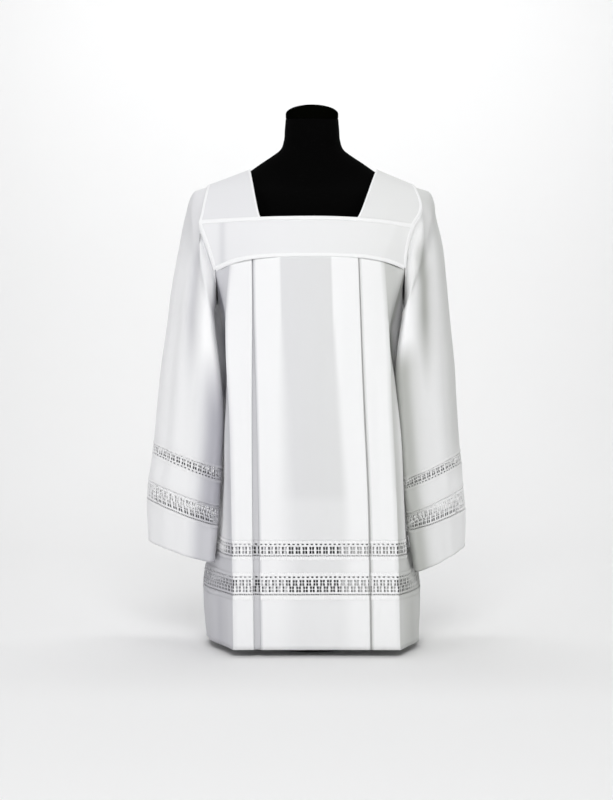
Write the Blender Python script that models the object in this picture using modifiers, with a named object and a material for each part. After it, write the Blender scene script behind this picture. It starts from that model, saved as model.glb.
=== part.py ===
"""A white surplice with lace bands, worn on a black limbless dress form.

Metres, +Z up. The origin is the centre of the base plate's underside. The garment's front
faces -Y, and left and right are as seen from the front. The back is cut like the front.
"""

import functools
import math

import bmesh
import bpy
import numpy as np

OBJECT = "surplice_on_dress_form"
SHARP_ANGLE = math.radians(40)

CLOTH = 0.0012  # wall of the cloth
SEAM = 0.0004  # gap between two pieces where they are sewn together

# Heights of the bands above the floor, from the hem up.
HEM_Z = 0.015
LOWER_LACE_Z = (0.1156, 0.1720)
UPPER_LACE_Z = (0.1960, 0.2364)

LACE_PITCH = 0.0146  # one oval and one cross of the lace take this along the band
HOLE_WIDTH = 0.0085  # the cluster of gaps in a cross, opened as one
HOLE_HEIGHT = 0.0100
HOLE_RIM = 0.0010  # first inset of a hole, before it is given its size
ROW_CROWDING = 1.6  # power by which the rows of skirt and sleeves stand closer at the yoke
PANEL_STEP = 0.045  # how far apart a plain panel's columns stand, and a hidden layer's

PLEAT_TURN = 0.00125  # radius of a pleat's folded edge
PLEAT_INNER = 0.055  # depth of a pleat on the side of the centre panel
PLEAT_OUTER_GAP = 0.0045  # from a pleat's outer hidden fold to the front panel's crease

# The armhole is an oval standing in the plane of the side, this far round its centre.
ARMHOLE_Z = 0.856
ARMHOLE_HALF_HEIGHT = 0.124
ARMHOLE_HALF_DEPTH = 0.088

# The square neckline and the yoke's band across the chest.
CHEST_Y = 0.118
CHEST_ROUND = 2.2  # power of the band's plan curve, from flat in the middle to its ends
BAND_TOP_Z = 0.894
BAND_TOP_DROP = {-1: 0.005, 1: 0.013}  # how much lower each end of the top seam is
BAND_BOTTOM_Z = 0.8187
BAND_BOTTOM_DROP = 0.0257
BAND_BOTTOM_ROUND = 3.8  # power of its lower seam, level in the middle and falling to the ends
BAND_CORNER_Z = 0.793  # where the seam meets the armholes
# The shares of the straps and the bands that are cloth, short of the seams between them.
STRAP_END = 0.992
STRAP_EDGE = 0.994
BAND_INSET = 0.0005
BAND_EDGES = (0.006, 0.992)
SHOULDER_Z = 1.014
SHOULDER_ROUND = 1.25  # power of the strap's arch; 1 would be an ellipse
NECK_HALF_WIDTH = {-1: 0.133, 1: 0.139}  # at the shoulders
NECK_CORNER_X = {-1: 0.105, 1: 0.089}  # at the chest

SLEEVE_COLUMNS = 32
LACE_END = 0.12  # degrees that each half of a sleeve's lace stops short of the seams
SLEEVE_START = 0.0018  # the sleeve's first ring stands this far out from the yoke
SLEEVE_UNDER_ARM = 0.0032  # and this much further out from the skirt under the arm
# How far down the sleeve the armhole's edge shapes it, under the arm and over the shoulder.
ARMHOLE_REACH = (0.090, 0.026)
SLEEVE_LACE_UPPER = (0.545, 0.583)
SLEEVE_LACE_LOWER = (0.628, 0.684)
SLEEVE_END = 0.765

FORM_COLUMNS = 24
MORE_FORM_RINGS_Z = (0.530, 0.840)
NECK_START_Z = 1.053
NECK_TOP_Z = 1.123
NECK_TILT = 0.2  # the neck's top and its cap lean forward by this slope
CAP_RADIUS = 0.0565
CAP_RIM = 0.010
CAP_DOME = 0.021
CAP_BEVEL = 0.0015
CAP_RINGS = (0.18, 0.36, 0.54, 0.72, 0.87)  # the dome's rings, as shares of its quarter turn
REST_GAP = 0.0003  # between the stand's parts, the form and its cap
POLE_RADIUS = 0.016
BASE_RADIUS = 0.104
BASE_THICKNESS = 0.008

CLOTH_WHITE = (0.86, 0.86, 0.86)
LACE_WHITE = (0.80, 0.80, 0.80)
FORM_BLACK = (0.012, 0.012, 0.012)
CAP_BLACK = (0.035, 0.032, 0.026)
STAND_BLACK = (0.03, 0.03, 0.03)


def table(columns, rows):
    """Named columns, sorted by the first one."""
    return dict(zip(columns, np.array(sorted(rows), float).T))


# The skirt's front at each height: how far forward it stands, how much it bows back at the
# sides, the creases at the sides of the front panels, and the lines and slits of its pleats.
SKIRT = table(
    ("z", "front", "bow", "crease_l", "crease_r", "pleat_l", "pleat_r", "slit_l", "slit_r"),
    (
        (0.815, 0.118, 0.0425, -0.1690, 0.1470, -0.1233, 0.0956, 0.0046, 0.0042),
        (0.700, 0.128, 0.032, -0.1780, 0.1555, -0.1215, 0.0992, 0.0056, 0.0044),
        (0.600, 0.135, 0.022, -0.1765, 0.1600, -0.1199, 0.1023, 0.0086, 0.0048),
        (0.520, 0.140, 0.014, -0.1706, 0.1615, -0.1186, 0.1053, 0.0112, 0.0052),
        (0.320, 0.148, 0.003, -0.1642, 0.1704, -0.1154, 0.1141, 0.0150, 0.0056),
        (HEM_Z, 0.151, -0.003, -0.1592, 0.1774, -0.1110, 0.1192, 0.0165, 0.0060),
    ),
)

# How much further out the back's sides hang than the front's, and the heights between
# which it swells to that, stays and dies away. A side reaches this far from its seam.
BACK_FULLNESS = 0.050
BACK_FULL_Z = (0.300, 0.460, 0.682, 0.757)
SIDE_REACH_Y = 0.105
SIDE_START_X = 0.130

# The skirt's sides at each height: the hollow behind a crease and a point half way round,
# each as x and y, and the side seam's x. The seams stand at y = 0.
SIDE_COLUMNS = ("z", "hollow_x", "hollow_y", "half_x", "half_y")
SIDES = {
    -1: table(
        SIDE_COLUMNS,
        (
            (0.800, 0.188, 0.0812, 0.2046, 0.0758),
            (0.740, 0.184, 0.0880, 0.1930, 0.0640),
            (0.660, 0.179, 0.0930, 0.1770, 0.0520),
            (0.550, 0.176, 0.1080, 0.1780, 0.0500),
            (0.450, 0.180, 0.1120, 0.1800, 0.0500),
            (0.320, 0.180, 0.1120, 0.1880, 0.0500),
            (0.200, 0.182, 0.1130, 0.2000, 0.0520),
            (0.140, 0.185, 0.1100, 0.2140, 0.0560),
            (HEM_Z, 0.180, 0.1120, 0.2120, 0.0540),
        ),
    ),
    1: table(
        SIDE_COLUMNS,
        (
            (0.800, 0.175, 0.0825, 0.1956, 0.0758),
            (0.740, 0.168, 0.0920, 0.1825, 0.0640),
            (0.660, 0.159, 0.0980, 0.1640, 0.0520),
            (0.550, 0.171, 0.1110, 0.1740, 0.0500),
            (0.450, 0.182, 0.1130, 0.1790, 0.0500),
            (0.320, 0.188, 0.1140, 0.1870, 0.0500),
            (0.200, 0.194, 0.1140, 0.1980, 0.0520),
            (0.140, 0.200, 0.1120, 0.2200, 0.0540),
            (HEM_Z, 0.200, 0.1080, 0.2240, 0.0520),
        ),
    ),
}
SIDE_SEAM = table(
    ("z", "left", "right"),
    (
        (0.735, 0.2050, 0.1980),
        (0.660, 0.1900, 0.1850),
        (0.550, 0.1860, 0.1810),
        (0.450, 0.1890, 0.1850),
        (0.320, 0.2020, 0.2000),
        (0.200, 0.2160, 0.2130),
        (0.160, 0.2300, 0.2270),
        (0.100, 0.2325, 0.2320),
        (HEM_Z, 0.2260, 0.2270),
    ),
)

# How far out the armhole's edge stands at each height, on the left and on the right.
ARMHOLE = table(
    ("z", "left", "right"),
    (
        (0.7320, 0.2050, 0.1980),
        (0.7930, 0.2046, 0.1956),
        (0.8340, 0.2158, 0.1974),
        (0.8690, 0.2285, 0.2060),
        (0.8875, 0.2350, 0.2130),
        (0.9110, 0.2315, 0.2270),
        (0.9800, 0.2217, 0.2175),
    ),
)

# The sleeves, ring by ring from the armhole: the distance down the sleeve, the outermost
# and the innermost point of the ring, its half depth from front to back, and how far the
# ring is turned, so that its inner side comes forward of the skirt.
SLEEVE_COLUMN_NAMES = (
    "along", "outer_x", "outer_z", "inner_x", "inner_z", "depth", "turn",
)  # fmt: skip
SLEEVES = {
    -1: table(
        SLEEVE_COLUMN_NAMES,
        (
            (0.000, 0.2217, 0.9800, 0.2050, 0.7320, 0.088, 0),
            (0.026, 0.2540, 0.9692, 0.2070, 0.7210, 0.090, 14),
            (0.034, 0.2595, 0.9640, 0.2075, 0.7165, 0.091, 20),
            (0.075, 0.2755, 0.9275, 0.2065, 0.7020, 0.092, 40),
            (0.140, 0.2925, 0.8484, 0.2040, 0.6800, 0.093, 44),
            (0.220, 0.3088, 0.7597, 0.2010, 0.6500, 0.094, 45),
            (0.300, 0.3178, 0.6860, 0.1965, 0.6150, 0.095, 45),
            (0.390, 0.3310, 0.5940, 0.1890, 0.5500, 0.096, 44),
            (0.470, 0.3408, 0.5026, 0.1840, 0.4700, 0.097, 46),
            (0.545, 0.3475, 0.4310, 0.1890, 0.3840, 0.098, 46),
            (0.583, 0.3510, 0.3990, 0.1910, 0.3460, 0.098, 46),
            (0.632, 0.3592, 0.3470, 0.1940, 0.3000, 0.099, 45),
            (0.680, 0.3635, 0.3014, 0.1970, 0.2560, 0.100, 50),
            (0.765, 0.3610, 0.2110, 0.2030, 0.1840, 0.100, 54),
        ),
    ),
    1: table(
        SLEEVE_COLUMN_NAMES,
        (
            (0.000, 0.2175, 0.9800, 0.1980, 0.7320, 0.088, 0),
            (0.028, 0.2560, 0.9655, 0.1970, 0.7210, 0.090, 14),
            (0.037, 0.2620, 0.9560, 0.1960, 0.7165, 0.091, 22),
            (0.075, 0.2712, 0.9260, 0.1905, 0.7050, 0.091, 45),
            (0.140, 0.2870, 0.8620, 0.1865, 0.6800, 0.092, 50),
            (0.220, 0.2960, 0.7830, 0.1815, 0.6500, 0.093, 50),
            (0.300, 0.3046, 0.6910, 0.1775, 0.6200, 0.094, 50),
            (0.390, 0.3145, 0.5940, 0.1740, 0.5600, 0.095, 50),
            (0.470, 0.3185, 0.5197, 0.1800, 0.4750, 0.096, 50),
            (0.545, 0.3260, 0.4127, 0.1880, 0.3612, 0.097, 50),
            (0.583, 0.3300, 0.3773, 0.1900, 0.3300, 0.098, 49),
            (0.632, 0.3330, 0.3310, 0.1960, 0.2850, 0.099, 48),
            (0.680, 0.3385, 0.2775, 0.2000, 0.2470, 0.100, 51),
            (0.765, 0.3385, 0.1990, 0.2130, 0.1640, 0.100, 55),
        ),
    ),
}

# Beside the yoke's seam the sleeve's cloth dips: where round the sleeve, in degrees as seen
# from the front (0 outermost, 90 in the middle, 180 innermost), and then in front and at the
# back how far down it reaches and how deep it is, as a share of the sleeve's half depth.
SEAM_VALLEY_TURN = 108
SEAM_VALLEY_WIDTH = 34
SEAM_VALLEY_REACH = (0.030, 0.060)
SEAM_VALLEY_DEPTH = (0.14, 0.22)

# The sleeves' long troughs, the same on both: where each lies round the sleeve at the top
# and at the cuff, in the same degrees, its width and depth, where it is deepest, how far
# below that it runs out, and the share of its depth that is left there.
SLEEVE_FOLDS = (
    (100, 84, 15, 0.0110, 0.180, 0.300, 0.4),
    (56, 50, 13, 0.0045, 0.500, 0.200, 0.5),
    (138, 128, 13, 0.0060, 0.600, 0.200, 0.6),
    (-80, -70, 16, 0.0100, 0.280, 0.300, 0.4),
    (-130, -120, 15, 0.0060, 0.580, 0.200, 0.6),
)

# The form's torso and neck at each height: half its width and half its depth.
FORM = table(
    ("z", "width", "depth"),
    (
        (0.315, 0.146, 0.098),
        (0.322, 0.161, 0.111),
        (0.345, 0.170, 0.118),
        (0.400, 0.173, 0.120),
        (0.470, 0.168, 0.116),
        (0.600, 0.141, 0.100),
        (0.700, 0.148, 0.103),
        (0.800, 0.165, 0.106),
        (0.880, 0.177, 0.104),
        (0.930, 0.190, 0.095),
        (0.955, 0.195, 0.083),
        (0.975, 0.186, 0.066),
        (0.992, 0.1620, 0.0580),
        (1.009, 0.1345, 0.0550),
        (1.026, 0.1100, 0.0540),
        (1.041, 0.0870, 0.0530),
        (1.053, 0.0705, 0.0540),
        (1.075, 0.0607, 0.0575),
        (1.100, 0.0585, 0.0570),
        (NECK_TOP_Z, 0.0565, 0.0565),
    ),
)


def smooth(columns, name, at):
    """A table's column as a smooth curve through its rows, at these values of the first."""
    places, values = next(iter(columns.values())), columns[name]
    slopes = np.gradient(values, places)
    i = np.clip(np.searchsorted(places, at) - 1, 0, len(places) - 2)
    span = places[i + 1] - places[i]
    t = np.clip((at - places[i]) / span, 0, 1)
    near = values[i] * (1 + 2 * t) + slopes[i] * span * t
    far = values[i + 1] * (3 - 2 * t) - slopes[i + 1] * span * (1 - t)
    return near * (1 - t) ** 2 + far * t**2


def ease(t):
    """0 to 1, level at both ends."""
    t = np.clip(t, 0, 1)
    return t * t * (3 - 2 * t)


def through(t, knots, values):
    """A smooth line through these values at these knots, which never swings past them."""
    values = [np.broadcast_to(np.asarray(value, float), np.shape(t)) for value in values]
    runs = [
        (values[i + 1] - values[i]) / (knots[i + 1] - knots[i]) for i in range(len(knots) - 1)
    ]
    slopes = [runs[0]]
    for before, after in zip(runs, runs[1:]):
        level = before * after <= 0
        slopes.append(np.where(level, 0, 2 * before * after / np.where(level, 1, before + after)))
    slopes.append(runs[-1])
    result = values[0]
    for i, knot in enumerate(knots[:-1]):
        span = knots[i + 1] - knot
        share = np.clip((t - knot) / span, 0, 1)
        near = values[i] * (1 + 2 * share) + slopes[i] * span * share
        far = values[i + 1] * (3 - 2 * share) - slopes[i + 1] * span * (1 - share)
        result = np.where(t >= knot, near * (1 - share) ** 2 + far * share**2, result)
    return result


# The yoke: where the armhole's edge, the bands and the straps lie.


def armhole_x(side, z):
    """How far out the armhole's edge stands, as a signed x."""
    return side * smooth(ARMHOLE, "left" if side < 0 else "right", z)


def armhole_y(z):
    return ARMHOLE_HALF_DEPTH * np.sqrt(
        np.clip(1 - ((z - ARMHOLE_Z) / ARMHOLE_HALF_HEIGHT) ** 2, 0, 1)
    )


def band_bottom_z(x):
    return BAND_BOTTOM_Z - BAND_BOTTOM_DROP * (np.abs(x) / 0.2) ** BAND_BOTTOM_ROUND


def band(across, up):
    """The band over the chest: across runs from the left armhole to the right, 0 to 1."""
    drop = np.where(across < 0.5, BAND_TOP_DROP[-1], BAND_TOP_DROP[1])
    end = np.abs(2 * across - 1)
    level = BAND_TOP_Z - drop * end**CHEST_ROUND
    side = np.where(across < 0.5, -1, 1)
    bottom_end = np.where(side < 0, armhole_x(-1, BAND_CORNER_Z), armhole_x(1, BAND_CORNER_Z))
    bottom = band_bottom_z(bottom_end * end)
    z = bottom + (level - bottom) * up
    reach = np.where(side < 0, armhole_x(-1, z), armhole_x(1, z))
    x = reach * end
    y = -CHEST_Y + (CHEST_Y - armhole_y(z)) * end**CHEST_ROUND
    return x, y, z


def strap(side, along, across):
    """A shoulder strap: along runs from the chest (-1) over the shoulder to the back (1),
    and across from the neck's edge (0) to the armhole (1)."""
    turn = np.abs(along) * math.pi / 2
    corner_x = side * NECK_CORNER_X[side]
    low, high = BAND_TOP_Z, SHOULDER_Z
    inner_z = low + (high - low) * np.cos(turn) ** SHOULDER_ROUND
    inner_x = corner_x + (side * NECK_HALF_WIDTH[side] - corner_x) * (inner_z - low) / (high - low)
    corner_end = NECK_CORNER_X[side] / abs(armhole_x(side, low))
    corner_y = CHEST_Y - (CHEST_Y - armhole_y(low)) * corner_end**CHEST_ROUND
    inner_y = corner_y * np.sin(turn) ** SHOULDER_ROUND
    seam_z = BAND_TOP_Z - BAND_TOP_DROP[side]
    last = math.acos((seam_z - ARMHOLE_Z) / ARMHOLE_HALF_HEIGHT)
    outer_z = ARMHOLE_Z + ARMHOLE_HALF_HEIGHT * np.cos(np.abs(along) * last)
    # Near the bands the strap takes their rounded plan and their top seam's line.
    near = np.abs(along) ** 4
    edge_z = outer_z + (seam_z - outer_z) * near
    edge_x = armhole_x(side, edge_z)
    x = inner_x + (edge_x - inner_x) * across
    end = np.abs(x / edge_x)
    z = inner_z + (outer_z - inner_z) * across
    z = z + (BAND_TOP_Z - BAND_TOP_DROP[side] * end**CHEST_ROUND - z) * near
    y = inner_y + (armhole_y(edge_z) - inner_y) * across
    rounded = CHEST_Y - (CHEST_Y - armhole_y(z)) * end**CHEST_ROUND
    y = y + (rounded - y) * near
    return x, np.where(along < 0, -y, y), z


# The skirt's front: a path in plan from the left side seam to the right one, in stretches.


def front_y(x, z):
    """The front panel's y."""
    end = np.where(x < 0, SIDES[-1]["half_x"][-1], SIDES[1]["half_x"][-1])
    return -smooth(SKIRT, "front", z) + smooth(SKIRT, "bow", z) * (np.abs(x) / end) ** CHEST_ROUND


def crease_x(side, z):
    return smooth(SKIRT, "crease_l" if side < 0 else "crease_r", z)


def slit_edge_x(side, edge, z):
    """The left (-1) or right (1) folded edge of a pleat's slit."""
    name = "l" if side < 0 else "r"
    return smooth(SKIRT, "pleat_" + name, z) + edge * smooth(SKIRT, "slit_" + name, z) / 2


def hidden_fold_x(side, edge, z):
    """The left or right hidden fold of a pleat, behind the panels."""
    if side == edge:
        return crease_x(side, z) - side * PLEAT_OUTER_GAP
    return slit_edge_x(side, edge, z) + edge * PLEAT_INNER


def side_stretch(side):
    """From the side seam to the front panel's crease."""
    knots = (0, 0.28, 0.72, 1)

    def path(t, z):
        columns = SIDES[side]
        x = crease_x(side, z)
        xs = (
            side * smooth(SIDE_SEAM, "left" if side < 0 else "right", z),
            side * smooth(columns, "half_x", z),
            side * smooth(columns, "hollow_x", z),
            x,
        )
        ys = (
            0,
            -smooth(columns, "half_y", z),
            -smooth(columns, "hollow_y", z),
            front_y(x, z),
        )
        t = t if side < 0 else 1 - t
        return through(t, knots, xs), through(t, knots, ys)

    return path


def flat_stretch(start, end, layer):
    """Between two edges, this many layers behind the front."""

    def path(t, z):
        x = start(z) + (end(z) - start(z)) * t
        return x, front_y(x, z) + 2 * PLEAT_TURN * layer

    return path


def turn_stretch(edge, heading, first, second):
    """A folded edge between two layers; heading is the way it bulges."""

    def path(t, z):
        x = edge(z) + heading * PLEAT_TURN * np.sin(math.pi * t)
        layer = first + (second - first) * (1 - np.cos(math.pi * t)) / 2
        return x, front_y(edge(z), z) + 2 * PLEAT_TURN * layer

    return path


def pleat_stretches(side):
    """An inverted box pleat, from the slit's left edge to its right one."""
    slit_left, slit_right = (functools.partial(slit_edge_x, side, edge) for edge in (-1, 1))
    fold_left, fold_right = (functools.partial(hidden_fold_x, side, edge) for edge in (-1, 1))
    return [
        turn_stretch(slit_left, 1, 0, 1),
        flat_stretch(slit_left, fold_left, 1),
        turn_stretch(fold_left, -1, 1, 2),
        flat_stretch(fold_left, fold_right, 2),
        turn_stretch(fold_right, 1, 2, 1),
        flat_stretch(fold_right, slit_right, 1),
        turn_stretch(slit_right, -1, 1, 0),
    ]


def panel_stretches():
    """The front's panels, between each crease or slit and the next one."""
    edges = (
        functools.partial(crease_x, -1),
        functools.partial(slit_edge_x, -1, -1),
        functools.partial(slit_edge_x, -1, 1),
        functools.partial(slit_edge_x, 1, -1),
        functools.partial(slit_edge_x, 1, 1),
        functools.partial(crease_x, 1),
    )
    return [flat_stretch(start, end, 0) for start, end in zip(edges[::2], edges[1::2])]


# Each stretch with whether it shows, as the hidden layers of a pleat don't.
PANELS = panel_stretches()
STRETCHES = (
    [(side_stretch(-1), True), (PANELS[0], True)]
    + [(path, False) for path in pleat_stretches(-1)]
    + [(PANELS[1], True)]
    + [(path, False) for path in pleat_stretches(1)]
    + [(PANELS[2], True), (side_stretch(1), True)]
)


def stretch_lengths(z):
    """Each stretch's length at this height."""
    t = np.linspace(0, 1, 41)
    lengths = []
    for path, _ in STRETCHES:
        x, y = path(t, np.full_like(t, z))
        lengths.append(np.hypot(np.diff(x), np.diff(y)).sum())
    return np.array(lengths)


def skirt_top_z(x, y):
    """The skirt's upper edge: under the band, then round under the armhole."""
    under_arm = ARMHOLE_Z - ARMHOLE_HALF_HEIGHT * np.sqrt(
        np.clip(1 - (y / ARMHOLE_HALF_DEPTH) ** 2, 0, 1)
    )
    return np.where(np.abs(y) < SIDES[-1]["half_y"][-1], under_arm, band_bottom_z(x))


FLAT_ENDS = np.concatenate([[0], np.cumsum(stretch_lengths(LOWER_LACE_Z[1]))])


def back_fullness(x, y, z):
    """How much further out the back hangs at its sides than the front."""
    low, full_low, full_high, high = BACK_FULL_Z
    reach = ease((high - z) / (high - full_high)) * ease((z - low) / (full_low - low))
    round_side = np.sin(math.pi * np.clip(np.abs(y) / SIDE_REACH_Y, 0, 1)) ** 2
    return BACK_FULLNESS * reach * round_side * np.sign(x) * (np.abs(x) > SIDE_START_X)


def skirt_plan(u, z):
    """x and y of the front at this place along its flat width, and this height."""
    x, y = np.zeros_like(u), np.zeros_like(u)
    index = np.clip(np.searchsorted(FLAT_ENDS, u, side="right") - 1, 0, len(STRETCHES) - 1)
    for i, (path, _) in enumerate(STRETCHES):
        here = index == i
        if here.any():
            t = (u[here] - FLAT_ENDS[i]) / (FLAT_ENDS[i + 1] - FLAT_ENDS[i])
            x[here], y[here] = path(t, z[here])
    return x, y


def skirt_columns(step):
    """Places along the flat width, and for each column between them whether it shows."""
    places, shows = [], []
    for i, (_, shown) in enumerate(STRETCHES):
        start, end = FLAT_ENDS[i], FLAT_ENDS[i + 1]
        is_turn = end - start < 2 * math.pi * PLEAT_TURN
        if is_turn:
            count = 2
        else:
            count = max(1, round((end - start) / (step if shown else PANEL_STEP)))
        places.extend(np.linspace(start, end, count, endpoint=False))
        shows.extend([shown] * count)
    places = np.array(places + [FLAT_ENDS[-1]])
    places[[0, -1]] += SEAM / 2, -SEAM / 2
    return places, shows


# The sleeves: rings round the arm, from the armhole to the cuff.


def sleeve(side, angle, along):
    """A sleeve's points: angle 0 is outermost and 90 is in front, in radians."""
    columns = SLEEVES[side]
    outer_x, outer_z, inner_x, inner_z, depth, turn = (
        smooth(columns, name, along) for name in SLEEVE_COLUMN_NAMES[1:]
    )
    seen = angle + np.radians(turn)
    lateral = np.cos(seen)
    x = (outer_x + inner_x) / 2 + (outer_x - inner_x) / 2 * lateral
    z = (outer_z + inner_z) / 2 + (outer_z - inner_z) / 2 * lateral
    beside = (np.arccos(lateral) - np.radians(SEAM_VALLEY_TURN)) / np.radians(SEAM_VALLEY_WIDTH)
    dip_reach, dip_depth = (
        np.where(np.sin(angle) > 0, *pair) for pair in (SEAM_VALLEY_REACH, SEAM_VALLEY_DEPTH)
    )
    dip = np.sin(math.pi * np.clip(along / dip_reach, 0, 1)) ** 2 * np.exp(-(beside**2))
    y = -depth * np.sin(angle) * (1 - dip_depth * dip)
    # The first rings follow the armhole's own edge, but rise to a full head over the shoulder.
    under, over = ARMHOLE_REACH
    near = 1 - ease(along / (under + (over - under) * np.clip(lateral, 0, 1)))
    seam_z = ARMHOLE_Z + ARMHOLE_HALF_HEIGHT * np.cos(angle)
    x = x + near * (side * armhole_x(side, seam_z) - x)
    x = x + SLEEVE_START + SLEEVE_UNDER_ARM * (1 - lateral) / 2 * near
    centre_x, centre_z = (outer_x + inner_x) / 2, (outer_z + inner_z) / 2
    reach = np.sqrt((x - centre_x) ** 2 + y**2 + (z - centre_z) ** 2)
    push = np.zeros_like(reach)
    for top, end, width, deep, deepest, run_out, left in SLEEVE_FOLDS:
        middle = np.radians(top + (end - top) * along / SLEEVE_END)
        away = (seen - middle + math.pi) % (2 * math.pi) - math.pi
        spent = (1 - left) * ease((along - deepest) / run_out)
        fade = ease(along / deepest) * (1 - spent)
        push = push + deep * fade * np.exp(-((away / np.radians(width)) ** 2))
    scale = 1 - push / reach
    x = centre_x + (x - centre_x) * scale
    z = centre_z + (z - centre_z) * scale
    return side * x, y * scale, z


# Building the meshes.


def material(name, colour, roughness):
    made = bpy.data.materials.new(name)
    made.use_nodes = True
    shader = made.node_tree.nodes["Principled BSDF"]
    shader.inputs["Base Color"].default_value = (*colour, 1)
    shader.inputs["Roughness"].default_value = roughness
    return made


def add_object(name, mesh, skin):
    mesh.materials.append(skin)
    made = bpy.data.objects.new(name, mesh)
    bpy.data.collections[OBJECT].objects.link(made)
    return made


def finish_mesh(name, grid):
    mesh = bpy.data.meshes.new(name)
    grid.to_mesh(mesh)
    grid.free()
    mesh.shade_smooth()
    mesh.set_sharp_from_angle(angle=SHARP_ANGLE)
    return mesh


def flat_grid(places, levels):
    """A flat grid whose columns and rows stand at these places and levels."""
    grid = bmesh.new()
    columns, rows = len(places) - 1, len(levels) - 1
    bmesh.ops.create_grid(grid, x_segments=columns, y_segments=rows, size=0.5)
    for vert in grid.verts:
        vert.co.x = places[round((vert.co.x + 0.5) * columns)]
        vert.co.y = levels[round((vert.co.y + 0.5) * rows)]
    return grid


def cut_lace(grid, places, levels, shows):
    """Opens a hole in every second face that shows, staggered from row to row. The grid's
    rows stand at true heights."""
    openings = []
    for face in list(grid.faces):
        centre = face.calc_center_median()
        column = int(np.searchsorted(places, centre.x)) - 1
        row = int(np.searchsorted(levels, centre.y)) - 1
        if not shows[column] or (column + row) % 2:
            continue
        bmesh.ops.inset_individual(grid, faces=[face], thickness=HOLE_RIM)
        for vert in face.verts:
            vert.co.x = centre.x + math.copysign(HOLE_WIDTH / 2, vert.co.x - centre.x)
            vert.co.y = centre.y + math.copysign(HOLE_HEIGHT / 2, vert.co.y - centre.y)
        openings.append(face)
    bmesh.ops.delete(grid, geom=openings, context="FACES")


def place_points(grid, surface):
    """Moves a flat grid's points onto a surface."""
    flat = np.array([vert.co[:2] for vert in grid.verts])
    points = np.stack(surface(flat[:, 0], flat[:, 1]), axis=1)
    for vert, point in zip(grid.verts, points):
        vert.co = point


def cloth_piece(name, grid, skin):
    """An open surface given the cloth's thickness."""
    made = add_object(name, finish_mesh(name, grid), skin)
    wall = made.modifiers.new("cloth", "SOLIDIFY")
    wall.thickness = CLOTH
    wall.offset = 0
    wall.use_even_offset = True
    return made


def add_yoke(skin):
    for side, name in ((-1, "left"), (1, "right")):
        grid = flat_grid(np.linspace(-STRAP_END, STRAP_END, 13), np.linspace(0, STRAP_EDGE, 5))
        place_points(grid, functools.partial(strap, side))
        cloth_piece(f"yoke_strap_{name}", grid, skin)
    for facing, name in ((1, "front"), (-1, "back")):
        grid = flat_grid(np.linspace(BAND_INSET, 1 - BAND_INSET, 15), np.linspace(*BAND_EDGES, 3))

        def surface(across, up):
            x, y, z = band(across, up)
            return x, facing * y, z

        place_points(grid, surface)
        cloth_piece(f"yoke_band_{name}", grid, skin)


def add_skirt(cloth, lace):
    """The skirt's pieces from the yoke down, in front and at the back."""
    gap = SEAM / 2
    upper_low, upper_high = UPPER_LACE_Z
    lower_low, lower_high = LOWER_LACE_Z
    pieces = (
        # name, bottom, top (None for the yoke's seam), rows, lace
        ("skirt", upper_high, None, 5, False),
        ("hem_lace_upper", upper_low, upper_high, 1, True),
        ("hem_strip", lower_high, upper_low, 1, False),
        ("hem_lace_lower", lower_low, lower_high, 2, True),
        ("hem_border", HEM_Z - gap, lower_low, 1, False),
    )
    for facing, where in ((1, "front"), (-1, "back")):
        for name, bottom, top, rows, is_lace in pieces:
            places, shows = skirt_columns(LACE_PITCH if is_lace else PANEL_STEP)
            height = 1 if top is None else top - bottom
            levels = np.linspace(0, 1, rows + 1) * height
            if top is None:
                levels = 1 - (1 - levels) ** ROW_CROWDING
            grid = flat_grid(places, levels)
            if is_lace:
                cut_lace(grid, places, levels, shows)

            def surface(u, level):
                if top is None:
                    x, y = skirt_plan(u, np.full_like(u, SIDES[-1]["z"][-1]))
                    high = skirt_top_z(x, y)
                else:
                    high = np.full_like(u, top)
                z = bottom + gap + (high - bottom - 2 * gap) * level / height
                x, y = skirt_plan(u, z)
                if facing < 0:
                    x = x + back_fullness(x, y, z)
                return x, facing * y, z

            place_points(grid, surface)
            cloth_piece(f"{name}_{where}", grid, lace if is_lace else cloth)


def add_sleeve(side, where, cloth, lace):
    gap = SEAM / 2
    full = (0, 360)
    pieces = (
        # name, start, end, rows, lace, angles
        ("sleeve", 0.0, SLEEVE_LACE_UPPER[0], 8, False, {"": full}),
        ("sleeve_lace_upper", *SLEEVE_LACE_UPPER, 1, True, None),
        ("sleeve_strip", SLEEVE_LACE_UPPER[1], SLEEVE_LACE_LOWER[0], 1, False, {"": full}),
        ("sleeve_lace_lower", *SLEEVE_LACE_LOWER, 2, True, None),
        ("sleeve_border", SLEEVE_LACE_LOWER[1], SLEEVE_END, 1, False, {"": full}),
    )
    for name, start, end, rows, is_lace, halves in pieces:
        # A lace band is cut through, so it is two halves that meet in front of the seams.
        for half, (first, last) in (halves or {"_front": (0, 180), "_back": (180, 360)}).items():
            columns = SLEEVE_COLUMNS * (last - first) // 360
            inset = LACE_END if is_lace else 0
            around = np.linspace(first + inset, last - inset, columns + 1) / 360
            places = around * SLEEVE_COLUMNS * LACE_PITCH
            # The rows stand closer towards the sleeve's head.
            shares = np.linspace(0, 1, rows + 1) ** (ROW_CROWDING if start == 0 else 1)
            levels = shares * (end - start)
            grid = flat_grid(places, levels)
            if is_lace:
                cut_lace(grid, places, levels, [True] * columns)

            def surface(u, level):
                angle = 2 * math.pi * u / (SLEEVE_COLUMNS * LACE_PITCH)
                share = level / (end - start)
                along = start + gap + (end - start - 2 * gap) * share
                return sleeve(side, angle, along)

            place_points(grid, surface)
            if not is_lace:
                bmesh.ops.remove_doubles(grid, verts=grid.verts, dist=1e-5)
            cloth_piece(f"{name}_{where}{half}", grid, lace if is_lace else cloth)


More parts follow.
